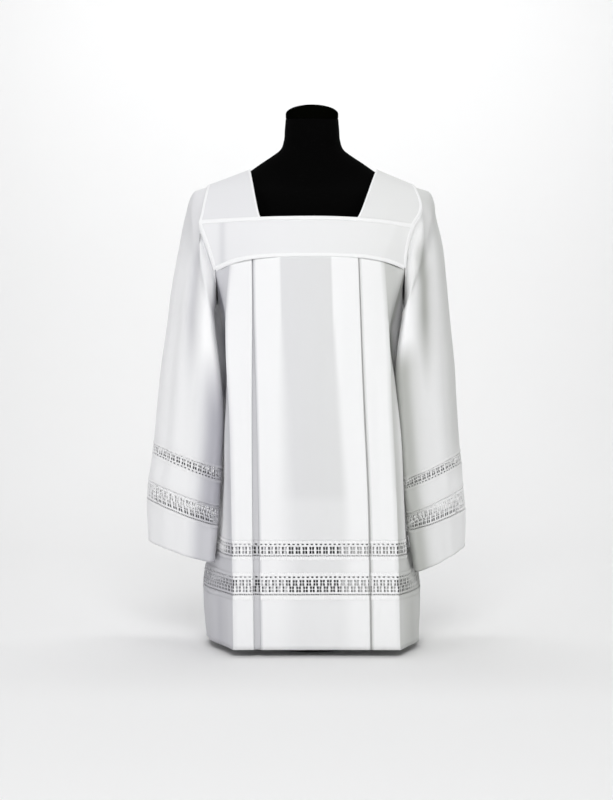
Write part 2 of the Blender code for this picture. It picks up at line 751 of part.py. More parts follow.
def turned_body(name, rings, skin):
    """A closed body of oval rings, each as z, half width and half depth, from below up."""
    rings = np.array(rings).T
    places = np.linspace(0, 1, FORM_COLUMNS + 1)
    levels = np.arange(rings.shape[1])
    grid = flat_grid(places, levels)

    def surface(u, level):
        index = np.rint(level).astype(int)
        z, width, depth = rings[:, index]
        y = -depth * np.cos(2 * math.pi * u)
        lean = NECK_TILT * y * ease((z - NECK_START_Z) / (NECK_TOP_Z - NECK_START_Z))
        return width * np.sin(2 * math.pi * u), y, z + lean

    place_points(grid, surface)
    bmesh.ops.remove_doubles(grid, verts=grid.verts, dist=1e-5)
    bmesh.ops.holes_fill(grid, edges=grid.edges, sides=0)
    bmesh.ops.recalc_face_normals(grid, faces=grid.faces)
    return add_object(name, finish_mesh(name, grid), skin)


def add_form(form_skin, cap_skin):
    heights = sorted([*FORM["z"], *MORE_FORM_RINGS_Z])
    rings = [
        (z, float(smooth(FORM, "width", z)), float(smooth(FORM, "depth", z))) for z in heights
    ]
    turned_body("form_body", rings, form_skin)
    base = NECK_TOP_Z + REST_GAP
    rings = [(base, CAP_RADIUS - CAP_BEVEL, CAP_RADIUS - CAP_BEVEL)]
    rings += [(base + rise, CAP_RADIUS, CAP_RADIUS) for rise in (CAP_BEVEL, CAP_RIM)]
    for lift in CAP_RINGS:
        radius = CAP_RADIUS * math.cos(lift * math.pi / 2)
        rings.append((base + CAP_RIM + CAP_DOME * math.sin(lift * math.pi / 2), radius, radius))
    turned_body("neck_cap", rings, cap_skin)


def add_cylinder(name, radius, bottom, top, skin):
    solid = bmesh.new()
    bmesh.ops.create_cone(
        solid, cap_ends=True, segments=40, radius1=radius, radius2=radius, depth=top - bottom
    )
    bmesh.ops.translate(solid, verts=solid.verts, vec=(0, 0, (top + bottom) / 2))
    return add_object(name, finish_mesh(name, solid), skin)


def main():
    for old in list(bpy.data.objects):
        bpy.data.objects.remove(old)
    bpy.context.scene.collection.children.link(bpy.data.collections.new(OBJECT))
    cloth = material("white_cloth", CLOTH_WHITE, 0.85)
    lace = material("white_lace", LACE_WHITE, 0.85)
    form = material("black_form", FORM_BLACK, 0.75)
    cap = material("black_cap", CAP_BLACK, 0.45)
    stand = material("black_stand", STAND_BLACK, 0.5)
    add_yoke(cloth)
    add_skirt(cloth, lace)
    for side, where in ((-1, "left"), (1, "right")):
        add_sleeve(side, where, cloth, lace)
    add_form(form, cap)
    pole_ends = BASE_THICKNESS + REST_GAP, FORM["z"][0] - REST_GAP
    add_cylinder("pole", POLE_RADIUS, *pole_ends, stand)
    add_cylinder("base_plate", BASE_RADIUS, 0, BASE_THICKNESS, stand)


main()
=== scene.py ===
"""The looks of a white surplice with lace bands, worn on a black limbless dress form.

Metres, +Z up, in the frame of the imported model. The garment's front faces -Y, and left and
right are as seen from the front.
"""

import math
from functools import partial

import bmesh
import bpy
import numpy as np
from mathutils import Matrix, Vector


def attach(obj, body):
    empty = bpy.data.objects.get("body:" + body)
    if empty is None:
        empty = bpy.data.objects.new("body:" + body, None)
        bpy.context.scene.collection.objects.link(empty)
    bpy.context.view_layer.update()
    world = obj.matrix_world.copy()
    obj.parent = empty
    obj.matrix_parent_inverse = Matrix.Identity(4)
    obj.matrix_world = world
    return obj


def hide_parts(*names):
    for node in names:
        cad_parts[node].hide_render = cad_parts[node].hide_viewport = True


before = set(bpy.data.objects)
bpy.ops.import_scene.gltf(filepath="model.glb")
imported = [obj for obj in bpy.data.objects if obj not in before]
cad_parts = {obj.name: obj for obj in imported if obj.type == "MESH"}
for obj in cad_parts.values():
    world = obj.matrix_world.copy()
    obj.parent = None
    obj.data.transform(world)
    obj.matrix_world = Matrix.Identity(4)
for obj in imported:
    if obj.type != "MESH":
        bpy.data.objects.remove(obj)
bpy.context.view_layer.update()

FACINGS = ((1, "front"), (-1, "back"))
BOTH_SIDES = ((-1, "left"), (1, "right"))
SIDE_NAMES = dict(BOTH_SIDES)

CLOTH = 0.0008  # wall of the cloth

# Heights of the bands above the floor, from the hem up.
HEM_Z = 0.015
LOWER_LACE_Z = (0.1156, 0.1720)
UPPER_LACE_Z = (0.1960, 0.2364)

SLEEVE_ROUND = 0.5256  # a sleeve's flat width, which is all round it
SLEEVE_CELLS = 38  # cells of lace round a sleeve
LACE_PITCH = SLEEVE_ROUND / SLEEVE_CELLS  # one oval and one cross of the lace take this along it

PLEAT_TURN = 0.00125  # radius of a pleat's folded edge
PLEAT_INNER = 0.055  # depth of a pleat on the side of the centre panel
PLEAT_OUTER_GAP = 0.0045  # from a pleat's outer hidden fold to the front panel's crease

# The armhole is an oval standing in the plane of the side, this far round its centre.
ARMHOLE_Z = 0.856
ARMHOLE_HALF_HEIGHT = 0.124
ARMHOLE_HALF_DEPTH = 0.088

# The square neckline and the yoke's band across the chest.
CHEST_Y = 0.118
CHEST_ROUND = 2.2  # power of the band's plan curve, from flat in the middle to its ends
BAND_TOP_Z = 0.894
BAND_TOP_DROP = {-1: 0.005, 1: 0.013}  # how much lower each end of the top seam is
BAND_BOTTOM_Z = 0.8187
BAND_BOTTOM_DROP = 0.0257  # how much lower its lower seam is this far out from the middle
BAND_BOTTOM_REACH = 0.2
BAND_BOTTOM_ROUND = 3.8  # power of its lower seam, level in the middle and falling to the ends
BAND_CORNER_Z = 0.793  # where the lower seam meets the armholes
SHOULDER_Z = 1.014
SHOULDER_ROUND = 1.25  # power of the strap's arch; 1 would be an ellipse
NECK_HALF_WIDTH = {-1: 0.133, 1: 0.139}  # at the shoulders
NECK_CORNER_X = {-1: 0.105, 1: 0.089}  # at the chest

SLEEVE_START = -0.0004  # the sleeve's first ring lies this far inside the yoke's edge
SLEEVE_LACE_UPPER = (0.545, 0.583)
SLEEVE_LACE_LOWER = (0.628, 0.684)
SLEEVE_END = 0.765
# How far down the sleeve the armhole's edge shapes it, under the arm and over the shoulder.
ARMHOLE_REACH = (0.090, 0.026)

# Finishes.
CLOTH_WHITE = (0.90, 0.902, 0.908)
CLOTH_INSIDE_SHADED = (0.40, 0.40, 0.41)  # the cloth's inner face: the same cloth darkened as painted shade, since only its own shade lights it
LACE_WHITE = (0.93, 0.93, 0.935)
FORM_BLACK = (0.0012, 0.0012, 0.0012)
CAP_BLACK = (0.0012, 0.0013, 0.0008)
STAND_BLACK = (0.012, 0.012, 0.012)
BACKDROP_WHITE = (0.92, 0.92, 0.92)
LILAC_SHADE = (0.045, 0.04, 0.11)  # painted tints of reflected light in the shade: what the cloth's painted tone fades towards, left and right
SAGE_SHADE = (0.075, 0.09, 0.04)
SHADE_SIDES = (-0.15, 0.15)  # between these places the first shade turns into the second

# The cloth's tones, from 0 to 1, are painted light and shade. Below, a pair says where a shade
# starts and over what length it grows, and a minus sign that it grows the other way.
OVER_FORM_TONE = 0.74  # painted show-through: one layer of the cloth over the black form, against three layers
# Painted show-through of the dark hollow behind one layer, below the form.
BELOW_FORM_TONE = 0.80
FORM_SHOWS = (0.305, 0.03)
# Painted light: the single layer is paler near the hem, below the start given.
BORDER_LIFT = 0.05
BORDER_LIFT_START = (0.125, -0.02)
HIDDEN_TONE = 0.66  # a pleat's hidden layers, in painted shade inside the slits
PLEAT_TONE = 0.93
# The straps' and the yoke's painted grey, where the black form shows through them.
STRAP_TONE = 0.82
YOKE_TONE = 0.85
SEAM_TONE = 0.95
# Heights, and there how softly the painted paleness of a pleat's three layers ends beside the
# middle, and how far that edge lies from the right pleat's fold. Elsewhere it ends more sharply.
LAYER_EDGE_Z = (0.0, 0.30, 0.42, 0.52, 0.70)
LAYER_EDGE_WIDTHS = {
    -1: (0.060, 0.058, 0.040, 0.036, 0.004),
    1: (0.040, 0.026, 0.020, 0.018, 0.004),
}
LAYER_EDGE_SHIFT = (0.010, 0.012, 0.009, 0.007, 0.0)
LAYER_EDGE_WIDTH = 0.003

# The skirt's sides in painted shade: their tone, how much painted light makes them paler beside the
# sleeves and where, by height and by the distance from the crease, and the painted light and shade
# of soft folds on the border below.
SIDE_TONE = 0.61
SIDE_PAINTED_LIGHT = 0.46
SIDE_PAINTED_LIGHT_FOOT, SIDE_PAINTED_LIGHT_TOP = (0.195, 0.02), (0.56, -0.08)
SIDE_PAINTED_LIGHT_START = (0.002, 0.026)
BORDER_FOLD_SHADE_TOP = (0.13, -0.03)
BORDER_FOLD_SHADES = ((0.006, 0.008, 0.06), (0.030, 0.007, -0.05))  # place, width, lift
# How far out the painted light on the cloth beside each crease reaches, by height, and over what
# width it ends.
LIT_EDGE_Z = {
    -1: (0.400, 0.480, 0.5225, 0.553, 0.605, 0.657, 0.691, 0.790),
    1: (0.360, 0.440, 0.479, 0.551, 0.571, 0.673, 0.790),
}
LIT_EDGE_X = {
    -1: (0.270, 0.230, 0.190, 0.1790, 0.1785, 0.1827, 0.1777, 0.2035),
    1: (0.270, 0.230, 0.186, 0.1740, 0.1704, 0.1601, 0.1927),
}
LIT_EDGE_WIDTH = 0.002
# Heights and the painted shade's tone there at the lit cloth's edge, on the left and on the right.
DEEP_TONES = {
    -1: ((0.600, 0.635, 0.690), (0.20, 0.10, 0.26)),
    1: ((0.600, 0.725), (0.27, 0.38)),
}
DEEP_END_TONE = 0.95  # and this far behind the edge, in front and at the back
DEEP_REACHES = (0.022, 0.014)
BACK_REACH = 0.045
BACK_START = (0, 0.03)

# The yoke's painted shades near the band's ends: the left one's place, width and depth; the right
# one's start, which slants this much for each metre up from a height, its end and depth.
YOKE_LEFT_SHADE = (-0.186, 0.007, 0.12)
YOKE_RIGHT_START, YOKE_RIGHT_END = (0.152, 0.012), (0.20, -0.02)
YOKE_RIGHT_SLANT = (0.45, 0.84)
YOKE_RIGHT_DEPTH = 0.03
YOKE_BAND_START = (BAND_TOP_Z - 0.004, -0.006)

# The sleeves' painted shade: how grey the trough, the inner side and the outer side are, then how
# far down the inner side's shade starts and over what length it deepens.
SLEEVE_SHADES = {-1: (0.28, 0.58, 0.0, 0.28, 0.20), 1: (0.54, 0.54, 0.26, 0.26, 0.12)}
HEAD_SHADE, VALLEY_SHADE, SEAM_SIDE_SHADE, UNDER_ARM_SHADE = 0.14, 0.2, 0.3, 0.4
TROUGH_TURN, TROUGH_WIDTH = 92, 15
CUFF_PAINTED_LIGHT = 0.32  # how much of its painted shade the left cuff's inner side loses, so that it is painted paler
# Where each painted shade lies round the sleeve, in degrees as seen from its outer side, and down
# it.
SHADE_TURNS = {
    "inner": (94, 50),
    "cuff": (118, 25),
    "valley": (80, 30),
    "seam": (150, 20),
    "under": (140, 40),
    "outer": (66, -30),
}
SHADE_LENGTHS = {
    "trough": (0.01, 0.05),
    "trough_end": (0.46, -0.24),
    "cuff": (0.64, 0.06),
    "seam": (0.07, -0.04),
    "under": (0.50, -0.20),
    "outer": (0.64, -0.14),
    "head": (0.17, -0.12),
}
# Painted shade on the lace over a pleat's hidden layers.
HIDDEN_LACE_TONE = 0.68
FRONT_LACE_SHADE = 0.35  # how much of its cloth's painted shade the lace in front takes
# How much of its sleeve's painted shade a sleeve's lace takes.
SLEEVE_LACE_SHADE = 0.9

# Sewing and lace.
CREASE_ANGLE = math.radians(55)  # a fold turned more sharply than this looks pressed
MARGIN_LAP = 0.006  # how far the cloth runs on behind a band of lace
# Each lace's rows of crosses, then its strips' heights: the scallops over the cloth beside
# the slits, the slits, each cord, each row, the dots, and the scallops beside the dots.
LACE_STRIPS = {
    "hem_lace_upper": (1, 0.0078, 0.0027, 0.0023, 0.0158, 0.0038, 0.0062),
    "hem_lace_lower": (2, 0.0090, 0.0030, 0.0027, 0.0122, 0.0040, 0.0074),
    "sleeve_lace_upper": (1, 0.0066, 0.0027, 0.0022, 0.0156, 0.0040, 0.0066),
    "sleeve_lace_lower": (2, 0.0064, 0.0028, 0.0024, 0.0140, 0.0040, 0.0028),
}
HOLE_RIM, HOLE_CORNER = 0.0002, 0.0009  # how far a hole is set in, and its cut corners
HOLE_SIDES = 8  # with its corners cut
LACE_THREAD = 0.0007
OVAL_RISE, RAIL_RISE, SCALLOP_RISE = 0.0011, 0.0009, 0.0009
SCALLOP_LIFT = 0.0006
ZIGZAG_STEP = 0.0004
STITCH_PITCH, STITCH_LENGTH, STITCH_WIDTH, STITCH_FLATNESS = 0.0034, 0.0024, 0.0005, 0.6
STITCH_SAMPLES = 400  # points along a row, by which its stitches are spaced
# The seams' strips: how far each lies from its edge and its half width, in metres, but as
# shares of the band's height for the band's own two seams, then how high they rise.
TOP_SEAM, BOTTOM_SEAM, BOTTOM_SEAM_INSET = (1.004, 0.052), 0.058, 0.012
EDGE_FOLD, NECK_FOLD, ARMHOLE_SEAM = (0.0034, 0.0032), (0.0016, 0.0022), (0.0030, 0.0030)
EDGE_RISE, TOP_SEAM_RISE, BOTTOM_SEAM_RISE = 0.0010, 0.0012, 0.0022
EDGE_STITCH_OFF, SEAM_STITCH_OFF = 0.0011, 0.0013
BAND_LENGTH = 0.50  # of the yoke's band along its curve


def table(columns, *rows):
    """Named columns, sorted by the first one."""
    return dict(zip(columns.split(), np.array(sorted(rows), float).T))


# The skirt's front at each height: how far forward it stands, how much it bows back at the
# sides, the creases at the sides of the front panels, and the lines and slits of its pleats.
SKIRT = table(
    "z front bow crease_l crease_r pleat_l pleat_r slit_l slit_r",
    (0.815, 0.118, 0.0425, -0.1690, 0.1470, -0.1233, 0.0956, 0.0046, 0.0042),
    (0.700, 0.128, 0.032, -0.1780, 0.1555, -0.1215, 0.0992, 0.0056, 0.0044),
    (0.600, 0.135, 0.022, -0.1765, 0.1600, -0.1199, 0.1023, 0.0086, 0.0048),
    (0.520, 0.140, 0.014, -0.1706, 0.1615, -0.1186, 0.1053, 0.0112, 0.0052),
    (0.320, 0.148, 0.003, -0.1642, 0.1704, -0.1154, 0.1141, 0.0150, 0.0056),
    (HEM_Z, 0.151, -0.003, -0.1592, 0.1774, -0.1110, 0.1192, 0.0165, 0.0060),
)

# How much further out the back's sides hang than the front's, between which heights, how
# deep from front to back, and from how far out.
BACK_FULLNESS = 0.050
BACK_FULL_TOP, BACK_FULL_FOOT = (0.757, -0.075), (0.30, 0.16)
BACK_FULL_DEPTH, BACK_FULL_FROM = 0.105, 0.13

# The skirt's sides at each height: the hollow behind a crease and a point half way round,
# each as x and y, and the side seam's x. The seams stand at y = 0.
SIDE_COLUMNS = "z hollow_x hollow_y half_x half_y"
SIDE_KNOTS = (0, 0.28, 0.72, 1)  # where the seam, half way, the hollow and the crease lie
SIDES = {
    -1: table(
        SIDE_COLUMNS,
        (0.800, 0.188, 0.0812, 0.2046, 0.0758),
        (0.740, 0.184, 0.0880, 0.1930, 0.0640),
        (0.660, 0.179, 0.0930, 0.1770, 0.0520),
        (0.550, 0.176, 0.1080, 0.1780, 0.0500),
        (0.450, 0.180, 0.1120, 0.1800, 0.0500),
        (0.320, 0.180, 0.1120, 0.1880, 0.0500),
        (0.200, 0.182, 0.1130, 0.2000, 0.0520),
        (0.140, 0.185, 0.1100, 0.2140, 0.0560),
        (HEM_Z, 0.180, 0.1120, 0.2120, 0.0540),
    ),
    1: table(
        SIDE_COLUMNS,
        (0.800, 0.175, 0.0825, 0.1956, 0.0758),
        (0.740, 0.168, 0.0920, 0.1825, 0.0640),
        (0.660, 0.159, 0.0980, 0.1640, 0.0520),
        (0.550, 0.171, 0.1110, 0.1740, 0.0500),
        (0.450, 0.182, 0.1130, 0.1790, 0.0500),
        (0.320, 0.188, 0.1140, 0.1870, 0.0500),
        (0.200, 0.194, 0.1140, 0.1980, 0.0520),
        (0.140, 0.200, 0.1120, 0.2200, 0.0540),
        (HEM_Z, 0.200, 0.1080, 0.2240, 0.0520),
    ),
}
SIDE_SEAM = table(
    "z left right",
    (0.735, 0.2050, 0.1980),
    (0.660, 0.1900, 0.1850),
    (0.550, 0.1860, 0.1810),
    (0.450, 0.1890, 0.1850),
    (0.320, 0.2020, 0.2000),
    (0.200, 0.2160, 0.2130),
    (0.160, 0.2300, 0.2270),
    (0.100, 0.2325, 0.2320),
    (HEM_Z, 0.2260, 0.2270),
)

# How far out the armhole's edge stands at each height, on the left and on the right.
ARMHOLE = table(
    "z left right",
    (0.7320, 0.2050, 0.1980),
    (0.7930, 0.2046, 0.1956),
    (0.8340, 0.2158, 0.1974),
    (0.8690, 0.2285, 0.2060),
    (0.8875, 0.2350, 0.2130),
    (0.9110, 0.2315, 0.2270),
    (0.9800, 0.2217, 0.2175),
)

# The sleeves, ring by ring from the armhole: the distance down the sleeve, the outermost
# and the innermost point of the ring, its half depth from front to back, and how far the
# ring is turned, so that its inner side comes forward of the skirt.
SLEEVE_RINGS = "along outer_x outer_z inner_x inner_z depth turn"
SLEEVES = {
    -1: table(
        SLEEVE_RINGS,
        (0.000, 0.2217, 0.9800, 0.2050, 0.7320, 0.088, 0),
        (0.026, 0.2540, 0.9692, 0.2070, 0.7210, 0.090, 14),
        (0.034, 0.2595, 0.9640, 0.2075, 0.7165, 0.091, 20),
        (0.075, 0.2755, 0.9275, 0.2065, 0.7020, 0.092, 40),
        (0.140, 0.2925, 0.8484, 0.2040, 0.6800, 0.093, 44),
        (0.220, 0.3088, 0.7597, 0.2010, 0.6500, 0.094, 45),
        (0.300, 0.3178, 0.6860, 0.1965, 0.6150, 0.095, 45),
        (0.390, 0.3310, 0.5940, 0.1890, 0.5500, 0.096, 44),
        (0.470, 0.3408, 0.5026, 0.1840, 0.4700, 0.097, 46),
        (0.545, 0.3475, 0.4310, 0.1890, 0.3840, 0.098, 46),
        (0.583, 0.3510, 0.3990, 0.1910, 0.3460, 0.098, 46),
        (0.632, 0.3592, 0.3470, 0.1940, 0.3000, 0.099, 45),
        (0.680, 0.3635, 0.3014, 0.1970, 0.2560, 0.100, 50),
        (0.765, 0.3610, 0.2110, 0.2030, 0.1840, 0.100, 54),
    ),
    1: table(
        SLEEVE_RINGS,
        (0.000, 0.2175, 0.9800, 0.1980, 0.7320, 0.088, 0),
        (0.028, 0.2560, 0.9655, 0.1970, 0.7210, 0.090, 14),
        (0.037, 0.2620, 0.9560, 0.1960, 0.7165, 0.091, 22),
        (0.075, 0.2712, 0.9260, 0.1905, 0.7050, 0.091, 45),
        (0.140, 0.2870, 0.8620, 0.1865, 0.6800, 0.092, 50),
        (0.220, 0.2960, 0.7830, 0.1815, 0.6500, 0.093, 50),
        (0.300, 0.3046, 0.6910, 0.1775, 0.6200, 0.094, 50),
        (0.390, 0.3145, 0.5940, 0.1740, 0.5600, 0.095, 50),
        (0.470, 0.3185, 0.5197, 0.1800, 0.4750, 0.096, 50),
        (0.545, 0.3260, 0.4127, 0.1880, 0.3612, 0.097, 50),
        (0.583, 0.3300, 0.3773, 0.1900, 0.3300, 0.098, 49),
        (0.632, 0.3330, 0.3310, 0.1960, 0.2850, 0.099, 48),
        (0.680, 0.3385, 0.2775, 0.2000, 0.2470, 0.100, 51),
        (0.765, 0.3385, 0.1990, 0.2130, 0.1640, 0.100, 55),
    ),
}

SEAM_VALLEY_TURN = 108  # the cloth dips here beside the yoke's seam, as seen, in degrees
SEAM_VALLEY_WIDTH = 34
SEAM_VALLEY_REACH = (0.030, 0.060)  # down the sleeve, in front and at the back
SEAM_VALLEY_DEPTH = (0.14, 0.22)  # as shares of the sleeve's half depth

# The sleeves' long troughs, the same on both: where each lies round the sleeve at the top
# and at the cuff, as seen from the front (0 outermost, 90 in the middle, 180 innermost),
# its width and depth, where it is deepest, how far below that it runs out, and the share
# of its depth that is left there.
SLEEVE_FOLDS = (
    (100, 84, 15, 0.0110, 0.180, 0.300, 0.4),
    (56, 50, 13, 0.0045, 0.500, 0.200, 0.5),
    (138, 128, 13, 0.0060, 0.600, 0.200, 0.6),
    (-80, -70, 16, 0.0100, 0.280, 0.300, 0.4),
    (-130, -120, 15, 0.0060, 0.580, 0.200, 0.6),
)


def between(t, start, start_slope, end, end_slope):
    """From the start to the end with these slopes there, as t goes from 0 to 1."""
    near = start * (1 + 2 * t) + start_slope * t
    far = end * (3 - 2 * t) - end_slope * (1 - t)
    return near * (1 - t) ** 2 + far * t**2


def smooth(columns, name, at):
    """A table's column as a smooth curve through its rows, at these values of the first."""
    places, values = next(iter(columns.values())), columns[name]
    slopes = np.gradient(values, places)
    i = np.clip(np.searchsorted(places, at) - 1, 0, len(places) - 2)
    span = places[i + 1] - places[i]
    t = np.clip((at - places[i]) / span, 0, 1)
    return between(t, values[i], slopes[i] * span, values[i + 1], slopes[i + 1] * span)


def ease(t):
    """0 to 1, level at both ends."""
    t = np.clip(t, 0, 1)
    return t * t * (3 - 2 * t)


def rising(value, start, run):
    """0 up to the start, then eased to 1 over the run, which may lead the other way."""
    return ease((value - start) / run)


def bell(value, middle, width):
    return np.exp(-(((value - middle) / width) ** 2))


def through(t, knots, values):
    """A smooth line through these values at these knots, which never swings past them."""
    values = [np.broadcast_to(np.asarray(value, float), np.shape(t)) for value in values]
    runs = [
        (values[i + 1] - values[i]) / (knots[i + 1] - knots[i]) for i in range(len(knots) - 1)
    ]
    slopes = [runs[0]]
    for before, after in zip(runs, runs[1:]):
        level = before * after <= 0
        slopes.append(np.where(level, 0, 2 * before * after / np.where(level, 1, before + after)))
    slopes.append(runs[-1])
    result = values[0]
    for i, knot in enumerate(knots[:-1]):
        span = knots[i + 1] - knot
        share = np.clip((t - knot) / span, 0, 1)
        ends = values[i], slopes[i] * span, values[i + 1], slopes[i + 1] * span
        result = np.where(t >= knot, between(share, *ends), result)
    return result


# The yoke: where the armhole's edge, the bands and the straps lie.


def armhole_x(side, z):
    """How far out the armhole's edge stands, as a signed x."""
    return side * smooth(ARMHOLE, SIDE_NAMES[side], z)


def armhole_y(z):
    return ARMHOLE_HALF_DEPTH * np.sqrt(
        np.clip(1 - ((z - ARMHOLE_Z) / ARMHOLE_HALF_HEIGHT) ** 2, 0, 1)
    )


def band_bottom_z(x):
    return BAND_BOTTOM_Z - BAND_BOTTOM_DROP * (np.abs(x) / BAND_BOTTOM_REACH) ** BAND_BOTTOM_ROUND


def band(across, up):
    """The band over the chest: across runs from the left armhole to the right, 0 to 1."""
    side = np.where(across < 0.5, -1, 1)
    drop = np.where(side < 0, BAND_TOP_DROP[-1], BAND_TOP_DROP[1])
    end = np.abs(2 * across - 1)
    level = BAND_TOP_Z - drop * end**CHEST_ROUND
    bottom_end = np.where(side < 0, *(armhole_x(half, BAND_CORNER_Z) for half in (-1, 1)))
    bottom = band_bottom_z(bottom_end * end)
    z = bottom + (level - bottom) * up
    reach = np.where(side < 0, armhole_x(-1, z), armhole_x(1, z))
    x = reach * end
    y = -CHEST_Y + (CHEST_Y - armhole_y(z)) * end**CHEST_ROUND
    return x, y, z


def strap(side, along, across):
    """A shoulder strap: along runs from the chest (-1) over the shoulder to the back (1),
    and across from the neck's edge (0) to the armhole (1)."""
    turn = np.abs(along) * math.pi / 2
    corner_x = side * NECK_CORNER_X[side]
    low, high = BAND_TOP_Z, SHOULDER_Z
    inner_z = low + (high - low) * np.clip(np.cos(turn), 0, 1) ** SHOULDER_ROUND
    inner_x = corner_x + (side * NECK_HALF_WIDTH[side] - corner_x) * (inner_z - low) / (high - low)
    corner_end = NECK_CORNER_X[side] / abs(armhole_x(side, low))
    corner_y = CHEST_Y - (CHEST_Y - armhole_y(low)) * corner_end**CHEST_ROUND
    inner_y = corner_y * np.sin(turn) ** SHOULDER_ROUND
    seam_z = BAND_TOP_Z - BAND_TOP_DROP[side]
    last = math.acos((seam_z - ARMHOLE_Z) / ARMHOLE_HALF_HEIGHT)
    outer_z = ARMHOLE_Z + ARMHOLE_HALF_HEIGHT * np.cos(np.abs(along) * last)
    # Near the bands the strap takes their rounded plan and their top seam's line.
    near = np.abs(along) ** 4
    edge_z = outer_z + (seam_z - outer_z) * near
    edge_x = armhole_x(side, edge_z)
    x = inner_x + (edge_x - inner_x) * across
    end = np.abs(x / edge_x)
    z = inner_z + (outer_z - inner_z) * across
    z = z + (BAND_TOP_Z - BAND_TOP_DROP[side] * end**CHEST_ROUND - z) * near
    y = inner_y + (armhole_y(edge_z) - inner_y) * across
    rounded = CHEST_Y - (CHEST_Y - armhole_y(z)) * end**CHEST_ROUND
    y = y + (rounded - y) * near
    return x, np.where(along < 0, -y, y), z


# The skirt's front: a path in plan from the left side seam to the right one, in stretches.


def front_y(x, z):
    """The front panel's y."""
    end = np.where(x < 0, SIDES[-1]["half_x"][-1], SIDES[1]["half_x"][-1])
    return -smooth(SKIRT, "front", z) + smooth(SKIRT, "bow", z) * (np.abs(x) / end) ** CHEST_ROUND


def crease_x(side, z):
    return smooth(SKIRT, "crease_l" if side < 0 else "crease_r", z)


def slit_edge_x(side, edge, z):
    """The left (-1) or right (1) folded edge of a pleat's slit."""
    name = "l" if side < 0 else "r"
    return smooth(SKIRT, "pleat_" + name, z) + edge * smooth(SKIRT, "slit_" + name, z) / 2


def hidden_fold_x(side, edge, z):
    """The left or right hidden fold of a pleat, behind the panels."""
    if side == edge:
        return crease_x(side, z) - side * PLEAT_OUTER_GAP
    return slit_edge_x(side, edge, z) + edge * PLEAT_INNER


def side_stretch(side):
    """From the side seam to the front panel's crease."""

    def path(t, z):
        x = crease_x(side, z)
        half_x, half_y, hollow_x, hollow_y = (
            smooth(SIDES[side], name, z) for name in ("half_x", "half_y", "hollow_x", "hollow_y")
        )
        seam = side * smooth(SIDE_SEAM, SIDE_NAMES[side], z)
        xs = seam, side * half_x, side * hollow_x, x
        ys = 0, -half_y, -hollow_y, front_y(x, z)
        t = t if side < 0 else 1 - t
        return through(t, SIDE_KNOTS, xs), through(t, SIDE_KNOTS, ys)

    return path


def flat_stretch(start, end, layer=0):
    """Between two edges, this many layers behind the front."""

    def path(t, z):
        x = start(z) + (end(z) - start(z)) * t
        return x, front_y(x, z) + 2 * PLEAT_TURN * layer

    return path


def turn_stretch(edge, heading, first, second):
    """A folded edge between two layers; heading is the way it bulges."""

    def path(t, z):
        x = edge(z) + heading * PLEAT_TURN * np.sin(math.pi * t)
        layer = first + (second - first) * (1 - np.cos(math.pi * t)) / 2
        return x, front_y(edge(z), z) + 2 * PLEAT_TURN * layer

    return path


def pleat_stretches(side):
    """An inverted box pleat, from the slit's left edge to its right one."""
    slit_left, slit_right = (partial(slit_edge_x, side, edge) for edge in (-1, 1))
    fold_left, fold_right = (partial(hidden_fold_x, side, edge) for edge in (-1, 1))
    return [
        turn_stretch(slit_left, 1, 0, 1),
        flat_stretch(slit_left, fold_left, 1),
        turn_stretch(fold_left, -1, 1, 2),
        flat_stretch(fold_left, fold_right, 2),
        turn_stretch(fold_right, 1, 2, 1),
        flat_stretch(fold_right, slit_right, 1),
        turn_stretch(slit_right, -1, 1, 0),
    ]


# Each stretch with whether it shows, as the hidden layers of a pleat don't.
STRETCHES = (
    (side_stretch(-1), True),
    (flat_stretch(partial(crease_x, -1), partial(slit_edge_x, -1, -1)), True),
    *((path, False) for path in pleat_stretches(-1)),
    (flat_stretch(partial(slit_edge_x, -1, 1), partial(slit_edge_x, 1, -1)), True),
    *((path, False) for path in pleat_stretches(1)),
    (flat_stretch(partial(slit_edge_x, 1, 1), partial(crease_x, 1)), True),
    (side_stretch(1), True),
)


def stretch_lengths(z):
    """Each stretch's length at this height."""
    t = np.linspace(0, 1, 41)
    lengths = []
    for path, _ in STRETCHES:
        x, y = path(t, np.full_like(t, z))
        lengths.append(np.hypot(np.diff(x), np.diff(y)).sum())
    return np.array(lengths)


def skirt_top_z(x, y):
    """The skirt's upper edge: under the band, then round under the armhole."""
    under_arm = ARMHOLE_Z - ARMHOLE_HALF_HEIGHT * np.sqrt(
        np.clip(1 - (y / ARMHOLE_HALF_DEPTH) ** 2, 0, 1)
    )
    return np.where(np.abs(y) < SIDES[-1]["half_y"][-1], under_arm, band_bottom_z(x))


FLAT_ENDS = np.concatenate([[0], np.cumsum(stretch_lengths(LOWER_LACE_Z[1]))])


def back_fullness(x, y, z):
    """How much further out the back hangs at its sides than the front."""
    reach = rising(z, *BACK_FULL_TOP) * rising(z, *BACK_FULL_FOOT)
    round_side = np.sin(math.pi * np.clip(np.abs(y) / BACK_FULL_DEPTH, 0, 1)) ** 2
    return BACK_FULLNESS * reach * round_side * np.sign(x) * (np.abs(x) > BACK_FULL_FROM)


def skirt_plan(u, z):
    """x and y of the front at this place along its flat width, and this height."""
    x, y = np.zeros_like(u), np.zeros_like(u)
    index = np.clip(np.searchsorted(FLAT_ENDS, u, side="right") - 1, 0, len(STRETCHES) - 1)
    for i, (path, _) in enumerate(STRETCHES):
        here = index == i
        if here.any():
            t = (u[here] - FLAT_ENDS[i]) / (FLAT_ENDS[i + 1] - FLAT_ENDS[i])
            x[here], y[here] = path(t, z[here])
    return x, y


# The sleeves: rings round the arm, from the armhole to the cuff.


